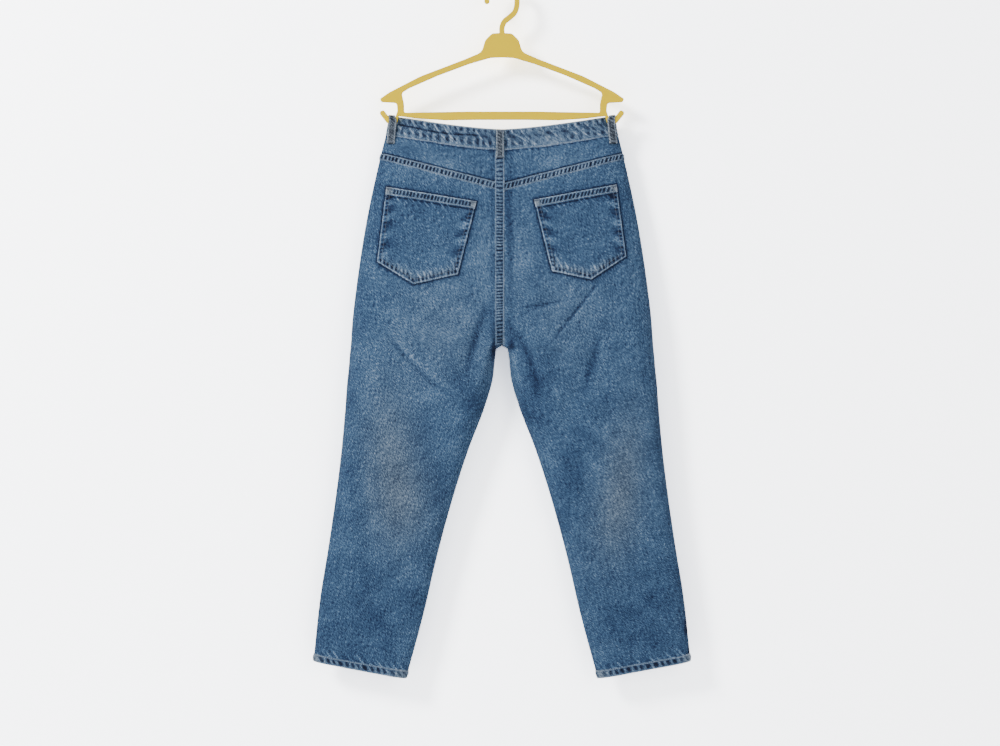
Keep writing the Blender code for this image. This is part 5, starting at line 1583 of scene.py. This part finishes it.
# %% Corners of the hanger
HANGER_EDGE, HOOK_WIDTH, HOOK_RADIUS = 1.1, 9.2, 25.9
HANGER_RIM = (
    (17.0, -85.0, 9), (29.0, -97.0, 14), (35.0, -117.5, 16), (64.0, -129.8, 60),
    (140.0, -158.8, 120), (193.0, -186.0, 60), (210.5, -198.0, 3), (207.0, -203.2, 3), (181.0, -204.6, 5),
    (179.8, -218.5, 8), (183.2, -229.0, 3), (186.0, -232.4, 2), (191.5, -232.4, 3), (203.8, -216.4, 4),
    (212.0, -221.0, 4), (198.5, -238.5, 6), (190.5, -242.5, 5), (181.5, -241.0, 5), (177.2, -227.3, 0.8),
    (141.0, -231.6, 60), (98.0, -234.4, 60), (40.0, -233.6, 60),
)
HANGER_WINDOW = (
    (0.0, -126.2, 0), (20.0, -127.0, 30), (56.0, -137.5, 60), (110.0, -157.6, 90), (160.0, -179.5, 40),
    (172.6, -187.5, 6), (168.4, -206.0, 16), (168.2, -221.6, 3), (60.0, -219.6, 90),
)
HOOK_STEM = ((0.0, -84.5), (0.0, -75.0), (4.0, -65.0), (13.5, -57.0), (22.0, -48.5), (25.6, -36.5))
HOOK_TIP_DROP = 8.5


def rounded(corners, steps=12):
    """A flat outline from rows of (x, z, radius): each corner becomes an arc that touches both its sides."""
    places = np.array([row[:2] for row in corners], float)
    outline = []
    for k, here in enumerate(places):
        radius = corners[k][2]
        back, ahead = places[k - 1] - here, places[(k + 1) % len(corners)] - here
        back_length, ahead_length = np.hypot(*back), np.hypot(*ahead)
        back, ahead = back / back_length, ahead / ahead_length
        half = math.acos(np.clip(back @ ahead, -1, 1)) / 2
        if radius == 0 or half > math.radians(89):
            outline.append(here)
            continue
        cut = min(radius / math.tan(half), 0.49 * min(back_length, ahead_length))
        r = cut * math.tan(half)
        centre = here + (back + ahead) / np.hypot(*(back + ahead)) * r / math.sin(half)
        first = np.arctan2(*(here + back * cut - centre)[::-1])
        last = np.arctan2(*(here + ahead * cut - centre)[::-1])
        turn = (last - first + math.pi) % math.tau - math.pi
        for t in np.linspace(0, 1, steps + 1):
            angle = first + turn * t
            outline.append(centre + r * np.array([math.cos(angle), math.sin(angle)]))
    return outline


def through(points, steps):
    """A smooth line through points: each span is a cubic whose end slopes follow the points beside it."""
    p = np.array([points[0], *points, points[-1]], float)
    t = np.arange(steps)[:, None] / steps
    spans = [0.5 * (2 * b + (c - a) * t + (2 * a - 5 * b + 4 * c - d) * t**2
                    + (3 * b - a - 3 * c + d) * t**3)
             for a, b, c, d in zip(p, p[1:], p[2:], p[3:])]
    return [*np.concatenate(spans), p[-1]]


def hook_outline():
    """Both sides of the hook's ribbon and its round tip, from the neck's left side to its right side."""
    centre_z = HOOK_WIDTH / 2 - HOOK_RADIUS
    arc = [(HOOK_RADIUS * math.cos(a), centre_z + HOOK_RADIUS * math.sin(a))
           for a in np.radians(range(0, 181, 5))]
    line = np.array([*through((*HOOK_STEM, arc[0]), 7)[:-1], *arc, (-HOOK_RADIUS, centre_z - HOOK_TIP_DROP)])
    along = np.gradient(line, axis=0)
    along[-1] = (0, -1)
    along[0] = (0, 1)
    along /= np.hypot(*along.T)[:, None]
    left = np.stack([-along[:, 1], along[:, 0]], axis=1) * HOOK_WIDTH / 2
    tip = [line[-1] + HOOK_WIDTH / 2 * np.array([math.cos(a), math.sin(a)])
           for a in np.radians(range(-12, -169, -12))]
    return [*(line + left), *tip, *(line - left)[::-1]]


def mirrored(outline):
    """The outline's mirror image across the middle, in the other order."""
    return [np.array([-p[0], p[1]]) for p in outline][::-1]


def half_outline(corners):
    """The rounded right half of a symmetric outline, rounded with its mirror image so that the ends fit."""
    whole = [*corners, *[(-x, z, r) for x, z, r in corners[::-1] if x > 0]]
    return [p for p in rounded(whole) if p[0] >= -TINY]


# %% [markdown]
# The plastic is dyed through and lets a little light in, which softens its shading. Its surface has the
# faint swirls of the melt's flow and the fine scratches of a hanger in use.

# %% Yellow plastic
def plastic_material():
    """A broad noise tints the colour, and a long thin one makes scratches in the gloss and the relief."""
    made, tree, shader = principled("yellow_plastic_moulding", {
        "Subsurface Weight": 0.15, "Subsurface Radius": (1.0, 0.7, 0.2), "Subsurface Scale": 0.002,
        "Specular IOR Level": 0.1})
    place = tree.nodes.new("ShaderNodeTexCoord").outputs["Object"]
    flow = noise(tree, place, 16.0, 3.0, 0.5)
    scratch = noise(tree, turned(tree, place, 20, 0.0009, 0.03), 1.0, 2.0, 0.6)
    colour = mixed(tree, flow, (0.850, 0.580, 0.002), (0.900, 0.640, 0.003))
    tree.links.new(colour, shader.inputs["Base Color"])
    tree.links.new(maths(tree, "MULTIPLY_ADD", scratch, 0.22, 0.24), shader.inputs["Roughness"])
    bumped(tree, shader, maths(tree, "ADD", flow, maths(tree, "MULTIPLY", scratch, 0.3)), 0.12, 0.0004)
    return made


# %% The moulding
right = half_outline(HANGER_RIM)
window_right = half_outline(HANGER_WINDOW)
flat_curve = bpy.data.curves.new("hanger_outline", "CURVE")
flat_curve.dimensions = "2D"
flat_curve.fill_mode = "BOTH"
flat_curve.extrude = (HANGER_THICK / 2 - HANGER_EDGE) * MM
flat_curve.bevel_depth = HANGER_EDGE * MM
flat_curve.bevel_resolution = 3
flat_curve.offset = -HANGER_EDGE * MM
for outline in ([*hook_outline(), *right, *mirrored(right)],
                [*window_right, *[p for p in mirrored(window_right) if p[0] < -TINY]]):
    spline = flat_curve.splines.new("POLY")
    spline.points.add(len(outline) - 1)
    spline.points.foreach_set("co", np.array([(x * MM, z * MM, 0, 1) for x, z in outline]).ravel())
    spline.use_cyclic_u = True
drawn = bpy.data.objects.new("hanger_outline", flat_curve)
bpy.context.scene.collection.objects.link(drawn)
moulded = bpy.data.meshes.new_from_object(drawn.evaluated_get(bpy.context.evaluated_depsgraph_get()))
bpy.data.objects.remove(drawn)
flat_points = np.empty(3 * len(moulded.vertices))
moulded.vertices.foreach_get("co", flat_points)
x, z, y = flat_points.reshape(-1, 3).T
moulded.vertices.foreach_set("co", np.stack([x, -y, z], axis=1).ravel())
moulded.shade_smooth()
moulded.set_sharp_from_angle(angle=math.radians(40))
hanger = bpy.data.objects.new("hanger_moulding", moulded)
moulded.materials.clear()
moulded.materials.append(plastic_material())
bpy.context.scene.collection.objects.link(hanger)
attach(hanger, "root")
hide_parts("hanger")
print("hanger:", len(moulded.polygons), "faces")

# %% [markdown]
# ## Button
# The waist button is a turned disc with a raised rim and a dished middle. A profile turned about its axis
# makes it. The metal is dull, and a fine noise makes its colour and its gloss uneven, as wear does.

# %% Button
BUTTON_RADIUS, BUTTON_HEIGHT, BUTTON_X, BUTTON_SIDES = 8.5, 3.0, 3.0, 48
BUTTON_PROFILE = (
    (0, 0.72), (0.25, 0.70), (0.50, 0.72), (0.58, 0.80), (0.66, 0.97), (0.76, 1.0), (0.88, 0.90),
    (0.97, 0.62), (1.0, 0.42), (0.97, 0.12), (0.85, 0.0), (0.4, 0.0), (0, 0.0),
)


def turned_about_y(profile, radius, height, sides):
    """Points and faces of a profile of (radius, height) on rings about y, with a fan at each pole."""
    radii, heights = np.array(profile).T
    angles = np.linspace(0, math.tau, sides, endpoint=False)
    x = radii[1:-1, None] * radius * np.cos(angles)
    z = radii[1:-1, None] * radius * np.sin(angles)
    rings = np.stack([x, heights[1:-1, None] * height + 0 * x, z], axis=-1).reshape(-1, 3)
    poles = np.array([[0, heights[0] * height, 0], [0, heights[-1] * height, 0]])
    spoke = np.arange(sides)
    ahead = (spoke + 1) % sides
    start, last = np.arange(len(radii) - 3)[:, None] * sides, (len(radii) - 3) * sides
    walls = np.stack([start + spoke, start + spoke + sides, start + ahead + sides, start + ahead], axis=-1)
    front_fan = np.stack([np.full(sides, len(rings)), spoke, ahead], axis=1)
    rear_fan = np.stack([np.full(sides, len(rings) + 1), last + ahead, last + spoke], axis=1)
    faces = walls.reshape(-1, 4).tolist() + front_fan.tolist() + rear_fan.tolist()
    return np.concatenate([rings, poles]), faces


def metal_material():
    """One noise gives both: where it is high, the metal is paler and rougher."""
    made, tree, shader = principled("dull_button_metal", {"Metallic": 1.0})
    place = tree.nodes.new("ShaderNodeTexCoord").outputs["Object"]
    tarnish = noise(tree, place, 420.0, 3.0, 0.6)
    colour = mixed(tree, tarnish, (0.20, 0.17, 0.13), (0.48, 0.43, 0.36))
    tree.links.new(colour, shader.inputs["Base Color"])
    tree.links.new(maths(tree, "MULTIPLY_ADD", tarnish, 0.3, 0.25), shader.inputs["Roughness"])
    return made


button_z = column_of("z_front")[:2].mean()
drop, share = drop_at(np.array([BUTTON_X]), np.array([button_z]), "front")
button_lift = WAISTBAND_PROUD + WAISTBAND_WALL + SEAM_GAP + LAYER_GAP
seat = (base_point(drop, share, "front") + button_lift * base_normal(drop, share, "front"))[0]
points, faces = turned_about_y(BUTTON_PROFILE, BUTTON_RADIUS, BUTTON_HEIGHT, BUTTON_SIDES)
button = new_piece("waist_button_turned", seat + points, faces, metal_material())
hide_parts("waist_button")
print("button:", len(faces), "faces")

# %% [markdown]
# ## Wall, floor and light
# The jeans hang in front of a pale wall in soft light from the upper left, which leaves a faint shadow to
# their right. The wall has one side only, so that views from behind see the fly side. The floor is far
# below.

# %% Stage
SHOWN_BRIGHTER = 5.0
STAGE_REACH, FLOOR_Z, WALL_GAP = 9000, -1500, 4
WALL_COLOUR, FLOOR_COLOUR = (0.85, 0.86, 0.88), (0.84, 0.84, 0.84)


def shown_to_camera(tree, lighting, shown):
    """A shader that is one thing to the rays that light the room, and another to the camera."""
    pick = tree.nodes.new("ShaderNodeMixShader")
    tree.links.new(tree.nodes.new("ShaderNodeLightPath").outputs["Is Camera Ray"], pick.inputs["Fac"])
    tree.links.new(lighting, pick.inputs[1])
    tree.links.new(shown, pick.inputs[2])
    return pick.outputs["Shader"]


def stage_sheet(name, corners, colour, one_sided):
    """A flat sheet that lights the room as pale paint does, and is shown brighter to the camera."""
    mesh = bpy.data.meshes.new(name)
    mesh.from_pydata([Vector(c) * MM for c in corners], [], [(0, 1, 2, 3)])
    made = bpy.data.materials.new(name)
    made.use_nodes = True
    tree = made.node_tree
    tree.nodes.remove(tree.nodes["Principled BSDF"])
    paint, shown = (tree.nodes.new("ShaderNodeBsdfDiffuse") for _ in range(2))
    paint.inputs["Color"].default_value = (*colour, 1)
    shown.inputs["Color"].default_value = (*(SHOWN_BRIGHTER * c for c in colour), 1)
    surface = shown_to_camera(tree, paint.outputs["BSDF"], shown.outputs["BSDF"])
    if one_sided:
        side = tree.nodes.new("ShaderNodeMixShader")
        tree.links.new(tree.nodes.new("ShaderNodeNewGeometry").outputs["Backfacing"], side.inputs["Fac"])
        tree.links.new(surface, side.inputs[1])
        tree.links.new(tree.nodes.new("ShaderNodeBsdfTransparent").outputs["BSDF"], side.inputs[2])
        surface = side.outputs["Shader"]
    tree.links.new(surface, tree.nodes["Material Output"].inputs["Surface"])
    mesh.materials.append(made)
    sheet = bpy.data.objects.new(name, mesh)
    bpy.context.scene.collection.objects.link(sheet)
    return sheet


wall_y = max(corner[1] for corner in solid_box) / MM + WALL_GAP
wall_corners = [(-STAGE_REACH, wall_y, FLOOR_Z), (STAGE_REACH, wall_y, FLOOR_Z),
                (STAGE_REACH, wall_y, STAGE_REACH), (-STAGE_REACH, wall_y, STAGE_REACH)]
floor_corners = [(-STAGE_REACH, -STAGE_REACH, FLOOR_Z), (STAGE_REACH, -STAGE_REACH, FLOOR_Z),
                 (STAGE_REACH, STAGE_REACH, FLOOR_Z), (-STAGE_REACH, STAGE_REACH, FLOOR_Z)]
stage_sheet("wall", wall_corners, WALL_COLOUR, one_sided=True).visible_shadow = False
stage_sheet("floor", floor_corners, FLOOR_COLOUR, one_sided=False)

# %% Lights
LIGHT_AIM = Vector((0, 0, -0.65))
LIGHTS = (
    ("key", (-2.5, -2.2, 1.5), 1.0, 120),
    ("fill", (1.8, -3.0, 0.2), 2.4, 26),
    ("behind_left", (-2.0, 2.6, 1.2), 1.6, 60),
    ("behind_right", (2.2, 2.8, 0.4), 2.0, 30),
)
for name, place, width, power in LIGHTS:
    light = bpy.data.lights.new(name, "AREA")
    light.shape = "DISK"
    light.size = width
    light.energy = power
    lamp = bpy.data.objects.new(name, light)
    lamp.location = place
    lamp.rotation_euler = (LIGHT_AIM - Vector(place)).to_track_quat("-Z", "Y").to_euler()
    lamp.visible_camera = False
    bpy.context.scene.collection.objects.link(lamp)

# %% Room
ROOM_COLOUR, ROOM_LIGHT, ROOM_SHOWN = (0.95, 0.96, 1.0, 1), 0.52, 4.5
world = bpy.data.worlds.new("pale_room")
world.use_nodes = True
sky = world.node_tree
lighting, shown = sky.nodes["Background"], sky.nodes.new("ShaderNodeBackground")
for background, strength in ((lighting, ROOM_LIGHT), (shown, ROOM_SHOWN)):
    background.inputs["Color"].default_value = ROOM_COLOUR
    background.inputs["Strength"].default_value = strength
surface = shown_to_camera(sky, lighting.outputs["Background"], shown.outputs["Background"])
sky.links.new(surface, sky.nodes["World Output"].inputs["Surface"])
bpy.context.scene.world = world
